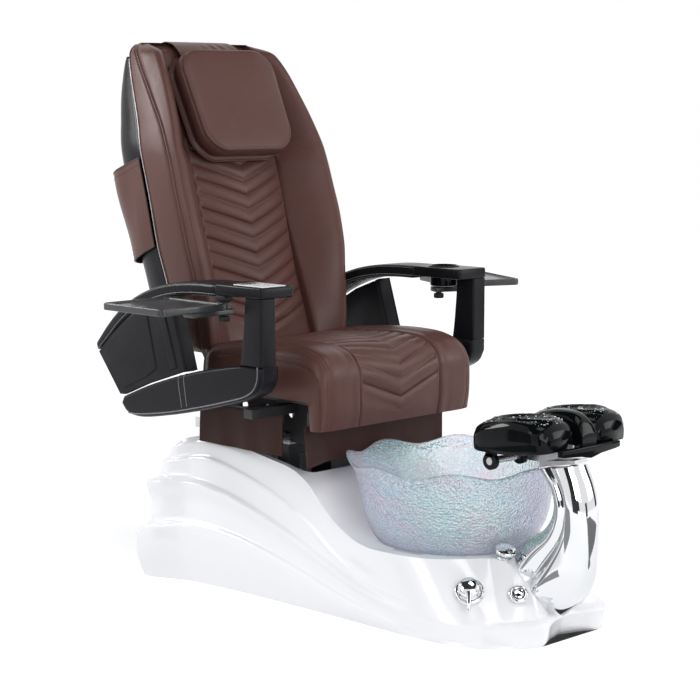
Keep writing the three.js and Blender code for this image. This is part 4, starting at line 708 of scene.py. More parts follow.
wave_high = table_curve([
    (-600, 72), (-430, 76), (-300, 84), (-153, 108), (-55, 150), (46, 214), (150, 264), (293, 308),
    (430, 332), (568, 312),
])
FACET_END = 6.5 / 17  # the plain control face runs from the front centre to here
WAVES_START = 8.5 / 17
REAR_START = 12 / 17
LEDGE = 9  # height of the bright ledge above each ridge
MIDDLE_LEVEL = 5
TOP_LEVEL = 12
REAR_BULGE = 20
SIDE_BULGE = 8
FRONT_LIP = 20


def wall_levels(t, grow=0.0):
    """The wall's points at one place of the outline, from the floor to the deck line."""
    foot, head = floor_line(t), deck_line(t)
    at_end = t <= 0 or t >= 1
    way = floor_line(min(t + 1e-4, 1)) - floor_line(max(t - 1e-4, 0))
    out = np.array([way[1], -way[0]]) / np.linalg.norm(way)
    if at_end:
        out = np.array([0, -1 if t <= 0 else 1])
    where = mix(foot[1], head[1], 0.5)
    deck = float(deck_height(head[1]))
    low = min(float(wave_low(where)), deck - 60)
    middle = max(min(float(wave_middle(where)), deck - 40), low + 22)
    high = max(min(float(wave_high(where)), deck - 22), middle + 12)
    # Each level's height, its share of the way in to the deck line and its share of the bulge.
    levels = (
        (0, 0, 0), (low * 0.5, 0, 0.9), (low, 0, 1), (low + LEDGE, 0.24, 0.4),
        (mix(low, middle, 0.55), 0.3, 0.3), (middle, 0.22, 0.8), (middle + LEDGE, 0.5, 0.3),
        (mix(middle, high, 0.6), 0.56, 0.1), (high, 0.54, 0), (high + LEDGE, 0.72, 0),
        (mix(high, deck, 0.72), 0.82, 0), (deck - 7, 0.94, 0), (deck, 1, 0),
    )
    plain = 1 - float(ramp(t, FACET_END, WAVES_START))
    swell = REAR_BULGE * float(ramp(t, REAR_START, 1)) + SIDE_BULGE * (1 - plain)
    lip_fade = 1 - float(ramp(t, 0.12, 0.3))
    points = []
    for level, (z, inset, bulge) in enumerate(levels):
        below = level < MIDDLE_LEVEL
        climb = min(max((z - middle) / (deck - middle), 0), 1)
        facet = 0.1 * level / MIDDLE_LEVEL if below else mix(0.1, 1, climb)
        lip = FRONT_LIP * lip_fade * (1 if level == MIDDLE_LEVEL else level / 6 if below else 0)
        p = mix(foot, head, mix(inset, facet, plain)) + out * (swell * bulge * (1 - plain) + lip + grow)
        if level:
            z += grow
        elif grow:
            z = -SHELL_WALL
        points.append((0 if at_end else max(p[0], 0), p[1], z))
    return np.array(points)


# The levels that each stretch of the wall passes through, and how finely it is drawn.
WALL_STRETCHES = (
    ((0, 1, 2), 10), ((2, 3), 4), ((3, 4, 5), 9), ((5, 6), 4), ((6, 7, 8), 8), ((8, 9), 4),
    ((9, 10, 11, 12), 10),
)


def wall_profile(t):
    levels = wall_levels(t)
    found = [levels[0]]
    for stretch, steps in WALL_STRETCHES:
        at = curve_through(levels[list(stretch)])
        found += [at((i + 1) / steps) for i in range(steps)]
    found = np.array(found)
    eased = found.copy()
    eased[1:-1] = 0.25 * found[:-2] + 0.5 * found[1:-1] + 0.25 * found[2:]
    return eased


def base_rings(stations, profile):
    rings = []
    for i in range(stations + 1):
        right = profile(i / stations)
        left = right * (-1, 1, 1)
        edge = right[-1]
        deck = [(share * edge[0], edge[1], edge[2]) for share in np.linspace(-1, 1, 21)[1:-1]]
        rings.append([*left, *deck, *right[::-1]])
    return rings


def inner_profile(t):
    return wall_levels(t, -SHELL_WALL)[::3]


BASIN_PROFILE = (
    (150, BASIN_FOOT), (176, 175), (197, 190), (214, 213), (231, 246), (253, 350), (261, 371),
)


def make_base_shell():
    shell = new_object("base_shell_skin", *loft(base_rings(150, wall_profile), caps=False), smooth=False)
    inner = new_object("inner", *loft(base_rings(50, inner_profile), caps=False), smooth=False)
    # The dish under the basin is solid, so the hollow is cut away round it.
    dish_section = ((DISH_RADIUS, 150), (DISH_RADIUS, 240), (0, 240), (0, 150))
    boolean(inner, turned("dish", dish_section, BASIN_CENTRE, sides=64))
    foot, rim = BASIN_FOOT - 3, RIM_RADIUS + RIM_GAP
    recess = turned("recess", (
        (0, foot),
        (BASIN_PROFILE[0][0] + BASIN_GAP, foot),
        *((r + BASIN_GAP, z) for r, z in BASIN_PROFILE[1:]),
        (rim, RIM_HEIGHT),
        (rim, 450),
        (0, 450),
    ), BASIN_CENTRE, sides=96)
    well_section = ((0, 100), (WELL_RADIUS, 100), (WELL_RADIUS, 200), (0, 200))
    well = turned("well", well_section, BASIN_CENTRE, sides=64)
    slot_outline = rounded_rect(SLOT_HALF_WIDTH, SLOT_HALF_LENGTH, SLOT_CORNER, 6, (0, SLOT_Y))
    slot = plate("slot", slot_outline, 300, 470, "Z")
    boolean(shell, inner, recess, well, slot)
    smooth_shade(shell, 38)
    dress(shell, gelcoat, "base", ["base_shell"])


make_base_shell()

# ---------------------------------------------------------------- basin

RIM_WAVES = 8
RIM_WAVE_HEIGHT = 9
RIM_WAVE_REACH = 4
# The rolled rim's section, as offsets from the rim's radius and height.
RIM_SECTION = ((-3, -9), (0, -4), (1, 1), (-2, 4), (-7, 3), (-11, -2))
BASIN_SIDES = 160
DRAIN_HOLE = 22


def basin_ring(radius, height, wave):
    ring = []
    for angle in turns(BASIN_SIDES):
        swing = math.cos(RIM_WAVES * angle + 0.6) + 0.25 * math.sin(3 * angle + 1) * wave
        r = radius + wave * RIM_WAVE_REACH * swing
        z = height + wave * RIM_WAVE_HEIGHT * swing
        ring.append((r * math.cos(angle), BASIN_Y + r * math.sin(angle), z))
    return ring


def make_basin():
    side = line_through(BASIN_PROFILE, 26)
    outer = [(r, z, float(ramp(z, 320, RIM_HEIGHT))) for r, z in side]
    rim = [(RIM_RADIUS + r, RIM_HEIGHT + z, 1) for r, z in RIM_SECTION]
    inner = []
    for r, z, wave in reversed(outer[1:]):
        inner.append((r - BASIN_WALL, z + 4 * float(1 - ramp(z, 200, 260)), wave))
    floor = BASIN_FOOT + BASIN_WALL
    rings = [(DRAIN_HOLE, BASIN_FOOT, 0), *outer, *rim, *inner, (150, floor, 0), (DRAIN_HOLE, floor, 0)]
    made = new_object("basin_glass", *loft([basin_ring(*ring) for ring in rings], loop=True), angle=70)
    dress(made, glass, "base", ["basin"])


make_basin()

FLOOR = BASIN_FOOT + BASIN_WALL + 0.4
JET_Y = BASIN_Y + 100
JET_RADIUS = 36
JET_SLOTS = 8
JET_SLOT_HALF = 2.2

drain = turned("drain_ring", (
    (17, 96), (20, 96), (20, FLOOR), (34, FLOOR), (34.5, FLOOR + 1.2), (33, FLOOR + 2.8),
    (24, FLOOR + 4), (19, FLOOR + 2.5), (17, FLOOR), (17, 96),
), BASIN_CENTRE)
dress(drain, chrome, "base", ["drain_flange"])
plug = FLOOR + 5
stopper = turned("drain_plug", (
    (0, plug - 50), (4, plug - 50), (4, plug - 8), (14, plug - 4), (19.5, plug), (20, plug + 1.5),
    (17, plug + 4.5), (8, plug + 6.8), (0, plug + 7),
), BASIN_CENTRE)
dress(stopper, chrome, "stopper", ["drain_stopper"])


def make_jet_cover():
    rim = FLOOR + 4.4
    cover = turned("jet_grille", (
        (0, rim + 6), (JET_RADIUS - 8, rim + 4), (JET_RADIUS - 4, rim), (JET_RADIUS + 6, rim),
        (JET_RADIUS + 5, rim + 2.5), (JET_RADIUS, rim + 5.5), (JET_RADIUS - 8, rim + 8), (0, rim + 9),
    ), (0, JET_Y, 0), sides=64)
    low, high = 10, JET_RADIUS - 10
    slot_outline = (
        (low, -JET_SLOT_HALF), (high, -JET_SLOT_HALF), (high, JET_SLOT_HALF), (low, JET_SLOT_HALF),
    )
    for angle in turns(JET_SLOTS):
        slot = plate("slot", slot_outline, rim - 3, rim + 12, "Z")
        slot.data.transform(Matrix.Translation((0, JET_Y * MM, 0)) @ Matrix.Rotation(angle, 4, "Z"))
        boolean(cover, slot)
    smooth_shade(cover, 40)
    dress(cover, chrome, "base", ["jet_cover"])


make_jet_cover()

# ---------------------------------------------------------------- controls on the base


def face_place(t, climb):
    """A point of the plain control face on the near side, and the way it faces."""
    def at(s, c):
        levels = wall_levels(s)
        return mix(levels[MIDDLE_LEVEL], levels[TOP_LEVEL], c)

    point = at(t, climb)
    normal = np.cross(at(t + 0.01, climb) - at(t - 0.01, climb), at(t, climb + 0.1) - at(t, climb - 0.1))
    normal = Vector(normal).normalized()
    if normal.x < 0:
        normal.negate()
    return Vector((-point[0], point[1], point[2])), Vector((-normal.x, normal.y, normal.z))


MIXER_PLACE = face_place(0.294, 0.51)
SWITCH_PLACE = face_place(0.178, 0.53)
MIXER_RADIUS = 36
SWITCH_RADIUS = 24


def on_face(made, place):
    """Stands a piece that is modelled about +Z on the control face."""
    point, normal = place
    across = Vector((0, 0, 1)).cross(normal).normalized()
    basis = Matrix((across, normal.cross(across), normal)).transposed().to_4x4()
    made.data.transform(Matrix.Translation(point * MM) @ basis)
    return made


mixer_plate = turned("mixer_rose", (
    (0, -34), (15, -34), (15, 2.5), (MIXER_RADIUS - 1, 2.5), (MIXER_RADIUS, 4), (MIXER_RADIUS - 1, 6),
    (MIXER_RADIUS - 4, 8), (MIXER_RADIUS - 6, 8.6), (MIXER_RADIUS - 9, 8), (24, 10), (22, 12),
    (16, 12), (16, 10), (0, 10),
), sides=72)
dress(on_face(mixer_plate, MIXER_PLACE), chrome, "base", ["mixer_plate"])
mixer_cap = turned("cap", (
    (0, 11.5), (14.5, 11.5), (14.5, 13.5), (25, 13.5), (26.5, 15), (27, 24), (25.5, 29), (21, 33.5),
    (10, 36.6), (0, 37.4),
), sides=64)
# The lever's places out from the cap, its height there and its half width.
LEVER_LINE = ((-2, 31, 5.4), (-20, 31, 5.2), (-40, 30, 5.0), (-58, 27, 4.6), (-62, 25.6, 2.6))
lever_rings = []
for y, z, half in LEVER_LINE:
    lever_rings.append([(a, y, z + b * 0.8) for a, b in rounded_rect(half, half, half * 0.9, 5)])
mixer_handle = joined("mixer_handle", [mixer_cap, new_object("lever", *loft(lever_rings))])
dress(on_face(mixer_handle, MIXER_PLACE), chrome, "lever", ["mixer_lever"])
switch_ring = turned("air_switch_ring", (
    (14.5, -18), (18, -18), (18, 2.5), (SWITCH_RADIUS - 0.8, 2.5), (SWITCH_RADIUS, 4),
    (SWITCH_RADIUS - 1, 6.2), (SWITCH_RADIUS - 4, 8.4), (17, 9), (15, 8), (14.5, 6), (14.5, -18),
), sides=64)
dress(on_face(switch_ring, SWITCH_PLACE), chrome, "base", ["air_switch_bezel"])
switch_button = turned("air_switch_push", (
    (0, -8), (13.6, -8), (13.6, 7.4), (12.8, 9.4), (10, 10.6), (9, 10.2), (0, 11.6),
), sides=56)
dress(on_face(switch_button, SWITCH_PLACE), chrome, "button", ["air_switch_button"])

SPRAYER = Vector((-80, -467, SHELF_HEIGHT))
SPRAYER_TILT = math.radians(20)  # away from the basin
outward = Vector((SPRAYER.x, SPRAYER.y - BASIN_Y, 0)).normalized()
sprayer_way = outward * math.sin(SPRAYER_TILT) + Vector((0, 0, 1)) * math.cos(SPRAYER_TILT)
holder = turned("sprayer_socket", (
    (10, -60), (13, -60), (13, -10), (19, -10), (19.4, 4), (18.6, 6.4), (16, 8.4), (14, 9), (10, 9),
    (10, -60),
), SPRAYER, sprayer_way)
shelf = block("shelf", (-130, -30), (-520, -420), (SHELF_HEIGHT - 90, SHELF_HEIGHT + 0.3), 0)
sleeve = turned("sleeve", ((10, -60), (13, -60), (13, 6), (10, 6), (10, -60)), SPRAYER, sprayer_way)
boolean(holder, shelf)
dress(joined("sprayer_socket", [holder, sleeve]), chrome, "base", ["sprayer_holder"])
sprayer = turned("sprayer_head", (
    (0, -50), (9, -50), (9, 11), (12, 12), (18, 15), (26, 18.5), (28, 21.5), (28, 24.5), (26.4, 27.6),
    (20, 31.2), (10, 33.6), (0, 34),
), SPRAYER, sprayer_way, sides=56)
dress(sprayer, chrome, "spray_head", ["sprayer"])

# ---------------------------------------------------------------- footrest

PILLAR_STEPS = 60
PILLAR_HALF_FOOT = 86
PILLAR_HALF_NECK = 54


def make_pillar():
    """Two rounded lobes side by side, with a deep groove between them."""
    back = line_through((
        (-440, 150), (-486, 226), (-538, 258), (-566, 297), (-573, 335), (-558, 374), (-524, 408),
    ), PILLAR_STEPS)
    front = line_through((
        (-590, 50), (-636, 92), (-666, 142), (-673, 206), (-676, 270), (-674, 330), (-660, 384),
        (-640, 428),
    ), PILLAR_STEPS)
    rings = []
    for i, (b, f) in enumerate(zip(back, front)):
        half = mix(PILLAR_HALF_FOOT, PILLAR_HALF_NECK, float(ramp(i / PILLAR_STEPS, 0.05, 0.6)))
        middle, reach = (b + f) / 2, (f - b) / 2
        ring = []
        for angle in turns(72):
            along, across = math.cos(angle), math.sin(angle)
            groove = 1 - 0.34 * bell(along, -0.12, 0.16)
            y, z = middle + reach * along
            ring.append((half * groove * math.copysign(abs(across) ** 0.85, across), y, z))
        rings.append(ring)
    made = new_object("footrest_pillar", *loft(rings), angle=60)
    dress(made, chrome, "base", ["pillar"])


make_pillar()

PIVOT = (-485, 437)
PAD_INNER, PAD_OUTER = 30, 166
PAD_REAR, PAD_FRONT = -426, -650
PAD_TOP_STEPS = 40
PAD_CROWN = 15
PAD_RIM_RISE = 3.2  # the raised oval round the cradle
PAD_DISH = 12
PAD_EDGE_DROP = 12  # from the top line to the pad's edge, where there is no crown
LUG_HALF = 7
DROPLETS = 190
DROPLET_SIDES = 10
DROPLET_RINGS = 3
pad_top = table_curve((
    (0, 508), (0.06, 522), (0.2, 534), (0.4, 543), (0.6, 548), (0.8, 546), (0.93, 537), (1, 522),
))
pad_under = table_curve(((0, 462), (0.1, 458), (0.5, 460), (0.85, 469), (1, 474)))
pad_half = table_curve(((0, 50), (0.06, 62), (0.2, 67), (0.5, 69), (0.84, 68), (0.94, 62), (1, 48)))


def pad_skin(u, s):
    """A pad's half width and its top's height: u from rear to front, s across from -1 to 1."""
    half = float(pad_half(u))
    oval = (s * half / 47) ** 2 + ((u - 0.52) / 0.37) ** 2
    crown = PAD_CROWN * (1 - abs(s) ** 2.6)
    dish = PAD_DISH * (1 - float(ramp(oval, 0.2, 1.0)))
    edge = float(pad_top(u)) - PAD_EDGE_DROP
    return half, edge + crown + PAD_RIM_RISE * bell(oval, 1, 0.16) - dish


def make_foot_pad(word, side):
    """A glossy moulding with a raised oval cradle on its top and an upright skirt round it."""
    middle = (PAD_INNER + PAD_OUTER) / 2 * side
    rings = []
    for u in 0.5 - 0.5 * np.cos(np.linspace(0, math.pi, 46)):
        top, under = float(pad_top(u)), float(pad_under(u))
        y = mix(PAD_REAR, PAD_FRONT, u)
        ring = []
        for k in range(PAD_TOP_STEPS + 1):
            s = -1 + 2 * k / PAD_TOP_STEPS
            half, height = pad_skin(u, s)
            ring.append((middle + s * half, y, height - 9 * float(ramp(abs(s), 0.86, 1))))
        flank = ((1.015, top - 26), (1.01, under + 12), (0.985, under + 3), (0.93, under), (0.5, under))
        ring += [(middle + s * half, y, min(z, top - 22)) for s, z in flank]
        ring += [(middle - s * half, y, min(z, top - 22)) for s, z in reversed(flank)]
        rings.append(ring)
    y, z = PIVOT
    parts = [new_object("pad", *loft(rings), angle=48)]
    boss_section = (
        (9.6, -LUG_HALF), (20, -LUG_HALF), (20.8, 1 - LUG_HALF), (20.8, LUG_HALF - 1), (20, LUG_HALF),
        (9.6, LUG_HALF), (9.6, -LUG_HALF),
    )
    for reach in (PAD_OUTER - 15, PAD_INNER + 14):
        x = side * reach
        parts.append(turned("boss", boss_section, (x, y, z), (1, 0, 0)))
        parts.append(block("web", (x - LUG_HALF, x + LUG_HALF), (y - 14, y + 14), (z + 10, 470), 1.5))
    made = joined(f"foot_pad_{word}_shell", parts)
    dress(made, gloss, f"pad_{word}", [f"foot_pad_{word}"])


def make_droplets(word, side):
    """Water drops left on the pad's top."""
    rng = np.random.default_rng(7 + side)
    middle = (PAD_INNER + PAD_OUTER) / 2 * side
    vertices, faces = [], []
    for _ in range(DROPLETS):
        u, s = rng.uniform(0.06, 0.94), rng.uniform(-0.82, 0.82)
        half, height = pad_skin(u, s)
        centre = np.array((middle + s * half, mix(PAD_REAR, PAD_FRONT, u), height))
        size = 0.9 + 2.6 * rng.random() ** 3
        start = len(vertices)
        for k in range(DROPLET_RINGS):
            r, h = size * math.cos(k * 0.5), size * 0.55 * math.sin(k * 0.5)
            for a in turns(DROPLET_SIDES):
                vertices.append(centre + (r * math.cos(a), r * math.sin(a), h - 0.1))
        vertices.append(centre + (0, 0, size * 0.55))
        top = start + DROPLET_RINGS * DROPLET_SIDES
        for first in range(start, top - DROPLET_SIDES, DROPLET_SIDES):
            for i in range(DROPLET_SIDES):
                a, b = first + i, first + (i + 1) % DROPLET_SIDES
                faces.append((a, b, b + DROPLET_SIDES, a + DROPLET_SIDES))
        last = top - DROPLET_SIDES
        faces += [(last + i, last + (i + 1) % DROPLET_SIDES, top) for i in range(DROPLET_SIDES)]
    # The drops' whiteness comes from a painted highlight in their material.
    dress(new_object(f"droplets_{word}", vertices, faces), water_painted_glint, f"pad_{word}")


for word, side in SIDES:
    make_foot_pad(word, side)
    make_droplets(word, side)

SADDLE_HALF_WIDTH = 27
SADDLE_LOW = 478
SADDLE_REAR, SADDLE_FRONT = -486, -660


def make_saddle():
    side = line_through((
        (SADDLE_REAR, SADDLE_LOW + 2), (-487, 516), (-500, 535), (-530, 548), (-572, 556), (-620, 553),
        (-648, 535), (SADDLE_FRONT, 506),
    ), 40)
    rings = []
    for s in np.linspace(-1, 1, 25):
        x = s * SADDLE_HALF_WIDTH
        crown = 1 - 0.16 * abs(s) ** 3
        ring = [(x, y, SADDLE_LOW + (z - SADDLE_LOW) * crown) for y, z in side]
        rings.append([*ring, (x, SADDLE_FRONT, SADDLE_LOW), (x, SADDLE_REAR, SADDLE_LOW)])
    made = new_object("footrest_saddle_shell", *loft(rings), angle=55)
    bevel(made, 1.5, 2, 50)
    smooth_shade(made, 40)
    dress(made, gloss, "base", ["footrest_saddle"])


make_saddle()
cowl_half = ((110, 477.6), (110, 462.5), (92, 460), (72, 458.5), (54, 457), (36, 455.5), (18, 451.5))
cowl_outline = [*cowl_half, (0, 448.5), *((-x, z) for x, z in reversed(cowl_half))]
cowl = plate("footrest_cowl_shell", cowl_outline, -668, -652, "Y", 2.5)
dress(cowl, gloss, "base", ["footrest_cowl"])

# ---------------------------------------------------------------- seat cushion

SEAT_HALF_WIDTH = 280
SEAT_FRONT = -46
SEAT_REAR = 416
SEAT_TOP = 668
SEAT_UNDER = 533.4
APRON_BOTTOM = 462
SEAT_PANEL = 0.53  # the chevron panel's share of the half width
SEAT_RISE = 56  # how far a chevron's arms climb from its middle
SEAT_PITCH = 0.07
SEAT_CHEVRON_START = 0.685
SEAT_PANEL_SEAM = 6.5  # depth
SIDE_SEAMS = (0.905, 0.935)
SIDE_SEAM_DEPTH = 2.2
CHANNEL_DEPTH = 9.5
RIB_SHARPNESS = 0.42
SEAT_SAMPLES = 500

seat_path = curve_through([
    (SEAT_REAR, 640), (330, 655), (200, 666), (96, SEAT_TOP), (26, SEAT_TOP - 6), (-18, SEAT_TOP - 24),
    (SEAT_FRONT + 4, 610), (SEAT_FRONT, 560), (SEAT_FRONT, 505), (SEAT_FRONT + 8, APRON_BOTTOM + 2),
])
seat_backing = curve_through([
    (SEAT_REAR, SEAT_UNDER), (330, SEAT_UNDER), (200, SEAT_UNDER), (96, SEAT_UNDER), (45, SEAT_UNDER),
    (22, SEAT_UNDER), (12, SEAT_UNDER - 2), (9, 520), (8, 495), (6, APRON_BOTTOM),
])
seat_run = run_along(np.array([seat_path(i / SEAT_SAMPLES) for i in range(SEAT_SAMPLES + 1)]))
SEAT_LENGTH = seat_run[-1]
seat_section = table_curve([
    (0, 1.02), (0.33, 1.01), (0.46, 1.0), (0.6, 1.0), (0.72, 1.035), (0.84, 1.035), (0.93, 0.97),
    (0.98, 0.84), (1.0, 0.7),
])


def ribs(phase):
    """Height of puffed ribs between sewn channels: 0 on a channel, 1 on a crest."""
    return abs(math.sin(math.pi * phase)) ** RIB_SHARPNESS


def seat_spot(s):
    """The skin and the backing under it at a share of the run from the rear to the front's foot."""
    shares = np.linspace(0, 1, SEAT_SAMPLES + 1)
    along = float(np.interp(min(max(s, 0), 1) * SEAT_LENGTH, seat_run, shares))
    return seat_path(along), seat_backing(along)


def seat_relief(s, a):
    """Depth of the seat's channels and seams: s along the run, a out from the middle to 1."""
    inside = 1 - float(ramp(a, SEAT_PANEL - 0.035, SEAT_PANEL - 0.012))
    fade = float(ramp(s, 0.12, 0.2) * (1 - ramp(s, 0.945, 0.965)))
    depth = inside * fade * CHANNEL_DEPTH * (1 - ribs((s - SEAT_CHEVRON_START) / SEAT_PITCH))
    depth += SEAT_PANEL_SEAM * bell(a, SEAT_PANEL, 0.012) - 2.5 * bell(a, SEAT_PANEL + 0.05, 0.04)
    return depth + sum(SIDE_SEAM_DEPTH * bell(a, seam, 0.006) for seam in SIDE_SEAMS)


def seat_point(s, x, height=None):
    """A point of the seat's skin: s along the run, x across from -1 to 1."""
    a = abs(x)
    leaning = float(ramp(s, 0.1, 0.3) * (1 - ramp(s, 0.94, 0.99)))
    rise = leaning * SEAT_RISE * min(a / SEAT_PANEL, 1)
    skin, backing = seat_spot(s - rise / SEAT_LENGTH)
    thick = np.linalg.norm(skin - backing)
    pulled = 1 - 0.05 * (1 - float(ramp(s, 0, 0.05))) - 0.03 * float(ramp(s, 0.93, 1))
    share, depth = (float(seat_section(a)), seat_relief(s, a)) if height is None else (height, 0)
    place = backing + (skin - backing) * (share * pulled - depth / thick)
    return np.array((x * SEAT_HALF_WIDTH * mix(pulled, 1, 0.6), place[0], place[1]))


def seat_columns():
    """Places across, closer together at the seams."""
    half = np.concatenate([
        np.linspace(0, SEAT_PANEL - 0.045, 26), np.linspace(SEAT_PANEL - 0.035, SEAT_PANEL + 0.035, 15),
        np.linspace(SEAT_PANEL + 0.06, 0.88, 14), np.linspace(0.893, 0.948, 14), np.linspace(0.96, 1, 6),
    ])
    return np.concatenate([-half[::-1], half[1:]])


def make_seat_cushion():
    columns = seat_columns()
    heights = (0.8, 0.55, 0.3, 0.1, 0.0)
    flank = [(1.0 + 0.012 * math.sin(math.pi * h), h * 0.7) for h in heights]
    rings = []
    for s in np.linspace(0, 1, 210):
        top = [seat_point(s, x) for x in columns]
        right = [seat_point(s, x, height) for x, height in flank]
        left = [p * (-1, 1, 1) for p in reversed(right)]
        backing = seat_spot(s)[1]
        under = [(x * SEAT_HALF_WIDTH, *backing) for x in (0.9, 0.5, 0, -0.5, -0.9)]
        rings.append([*left, *top, *right, *under])
    return new_object("seat_cover", *loft(rings), angle=70)


seat_cover = make_seat_cushion()
dress(seat_cover, leather, "seat", ["seat_cushion"])
for word, side in SIDES:
    edge_line = [seat_point(s, side * 0.992, 0.72) for s in np.linspace(0.1, 0.99, 140)]
    dress(tube_along(f"seat_piping_{word}", edge_line, 3.2), piping, "seat")
foot_line = [seat_point(0.992, x, 0.8) for x in np.linspace(-0.985, 0.985, 60)]
dress(tube_along("seat_piping_front", foot_line, 3.4), piping, "seat")

# ---------------------------------------------------------------- back cushion

BACK_BOTTOM = 616
BACK_TOP = 1442
PANEL_HALF_WIDTH = 160
HEADREST_WIDENING = 20
BACK_RISE = 54
BACK_PITCH = 40
BACK_START = 704

panel_depth = table_curve([
    (616, 450), (676, 470), (727, 488), (807, 516), (880, 536), (977, 560), (1089, 591), (1211, 638),
    (1330, 694), (1416, 738), (1442, 756),
])
bolster_depth = table_curve([
    (616, 407), (676, 408), (727, 412), (859, 428), (958, 454), (1043, 482), (1128, 510), (1213, 544),
    (1304, 590), (1376, 634), (1427, 680), (1442, 706),
])
rear_depth = table_curve([
    (616, 506), (676, 545), (797, 574), (896, 598), (993, 616), (1140, 662), (1232, 696), (1309, 733),
    (1393, 771), (1442, 792),
])
shell_depth = table_curve([
    (690, 690), (768, 722), (875, 747), (1000, 778), (1126, 812), (1211, 832), (1309, 844),
    (1348, 840), (1385, 832), (1404, 822),
])
back_half = table_curve([
    (616, 252), (676, 258), (797, 266), (896, 277), (993, 282), (1140, 278), (1232, 262), (1309, 246),
    (1393, 228), (1427, 214), (1442, 200),
])
bolster_section = table_curve([
    (0, 0.17), (1.2, 0.11), (4, 0.055), (9, 0.015), (16, 0), (30, 0.05), (50, 0.2), (80, 0.5),
    (105, 0.79), (118, 0.955), (122, 1.0),
])
side_seam_depth = table_curve([
    (616, 437), (676, 440), (822, 454), (883, 467), (1048, 506), (1130, 536), (1214, 582),
    (1289, 640), (1414, 742), (1442, 766),
])
SIDE_SEAM_GAP = 9
STITCH_OFFSET = 4.5  # from a seam to the stitches beside it
TOP_CORNER = 34
PANEL_CROWN, PANEL_CROWN_FOOT = 26, 8
# Distances in from the bolster's outer edge, and shares of the panel's half width.
BOLSTER_INSETS = (
    118, 113, 108, 102, 94, 86, 78, 70, 62, 54, 46, 38, 30, 22, 16, 12, 8, 5, 3, 1.5, 0.6, 0,
)
PANEL_EDGE = (0.95, 0.97, 0.985, 0.995)
# Distances behind the first side seam, close together over both seams.
SEAM_STEPS = (-3, -1.5, -0.7, 0, 0.7, 1.5, 3, 4.5, 6, 7.5, 8.3, 9, 9.7, 10.5, 12)


def back_frame_at(z):
    """Half width, panel half width, rear depth and closing share of the padding at a height."""
    turn = min(max((z - BACK_TOP + TOP_CORNER) / TOP_CORNER, 0), 0.97)
    rounding = TOP_CORNER * (1 - math.sqrt(1 - turn * turn))
    half = float(back_half(z)) - rounding - 8 * (1 - float(ramp(z, BACK_BOTTOM, BACK_BOTTOM + 12)))
    panel = PANEL_HALF_WIDTH + HEADREST_WIDENING * float(ramp(z, 1110, 1170))
    return half, panel, float(rear_depth(z)), 0.5 * float(ramp(z, 1408, BACK_TOP)) ** 2


def panel_point(row, share):
    """A point of the middle panel, with its crown and its chevron channels."""
    _, panel, rear, closing = back_frame_at(row)
    leaning = float(ramp(row, BACK_BOTTOM, BACK_BOTTOM + 28) * (1 - ramp(row, 1118, 1200)))
    z = row + leaning * BACK_RISE * abs(share)
    fade = float(ramp(row, BACK_BOTTOM + 14, BACK_BOTTOM + 26) * (1 - ramp(row, 1108, 1126)))
    inside = 1 - float(ramp(abs(share), 0.93, 0.97))
    channel = fade * inside * CHANNEL_DEPTH * (1 - ribs((row - BACK_START) / BACK_PITCH))
    full = float(ramp(z, BACK_BOTTOM, BACK_BOTTOM + 100) * (1 - 0.55 * ramp(z, 1090, 1220)))
    crown = mix(PANEL_CROWN_FOOT, PANEL_CROWN, full)
    y = float(panel_depth(z)) - crown * (1 - share * share) + channel + 6.0 * bell(abs(share), 1, 0.035)
    return np.array((share * panel, mix(y, rear, closing), z))


def bolster_point(row, inset, side):
    """A point of a side bolster: inset is the distance in from the outer edge, at full width."""
    half, panel, rear, closing = back_frame_at(row)
    scale = (half - panel) / (float(back_half(row)) - PANEL_HALF_WIDTH)
    y = mix(float(bolster_depth(row)), float(panel_depth(row)), float(bolster_section(inset)))
    reach = half - inset * scale
    y += 1.2 * wander(np.array([[side * reach, 0, row]]), 90, 5.7)[0]
    return np.array((side * max(reach, panel), mix(y, rear, closing), row))


def side_depths(row):
    """Where the side face starts, behind the bolster's edge, and where its first seam runs."""
    start = float(bolster_point(row, 0, 1)[1])
    return start, max(float(side_seam_depth(row)), start + 12)


def side_point(row, side, behind, lift=0.0):
    """A point on a bolster's side face, set by the double seam that runs down it."""
    half, _, rear, closing = back_frame_at(row)
    start, seam = side_depths(row)
    y = seam + behind
    t = (y - start) / max(rear - start, 1)
    groove = sum(bell(behind, at, 1.5) for at in (0, SIDE_SEAM_GAP))
    swell = 5.0 * math.sin(math.pi * min(max(t, 0), 1)) ** 0.7
    return np.array((side * (half + swell - 2.4 * groove + lift), mix(y, rear, closing), row))


def back_row(row):
    half, _, rear, _ = back_frame_at(row)
    start, seam = side_depths(row)
    before = [-(seam - start) * k for k in (0.75, 0.5, 0.35)]
    after = [12 + (rear - 12 - seam) * k for k in (0.15, 0.3, 0.45, 0.6, 0.75, 0.88, 0.95)]
    right = [bolster_point(row, inset, 1) for inset in BOLSTER_INSETS]
    right += [side_point(row, 1, behind) for behind in (*before, *SEAM_STEPS, *after)]
    right += [np.array((half - 1, rear - 5, row)), np.array((half - 12, rear, row))]
    edge = np.array(PANEL_EDGE)
    middle = [panel_point(row, s) for s in (*-edge[::-1], *np.linspace(-0.92, 0.92, 61), *edge)]
    left = [p * (-1, 1, 1) for p in right[::-1]]
    return [*left, *middle, *right]


def make_back_cushion():
    rows = np.concatenate([
        [BACK_BOTTOM + rise for rise in (0, 3, 8, 14)], np.arange(BACK_BOTTOM + 18, 1150, 3.2),
        np.arange(1152, 1402, 8), np.arange(1404, BACK_TOP, 3.5), [BACK_TOP],
    ])
    return new_object("back_cover", *loft([back_row(z) for z in rows]), angle=70)


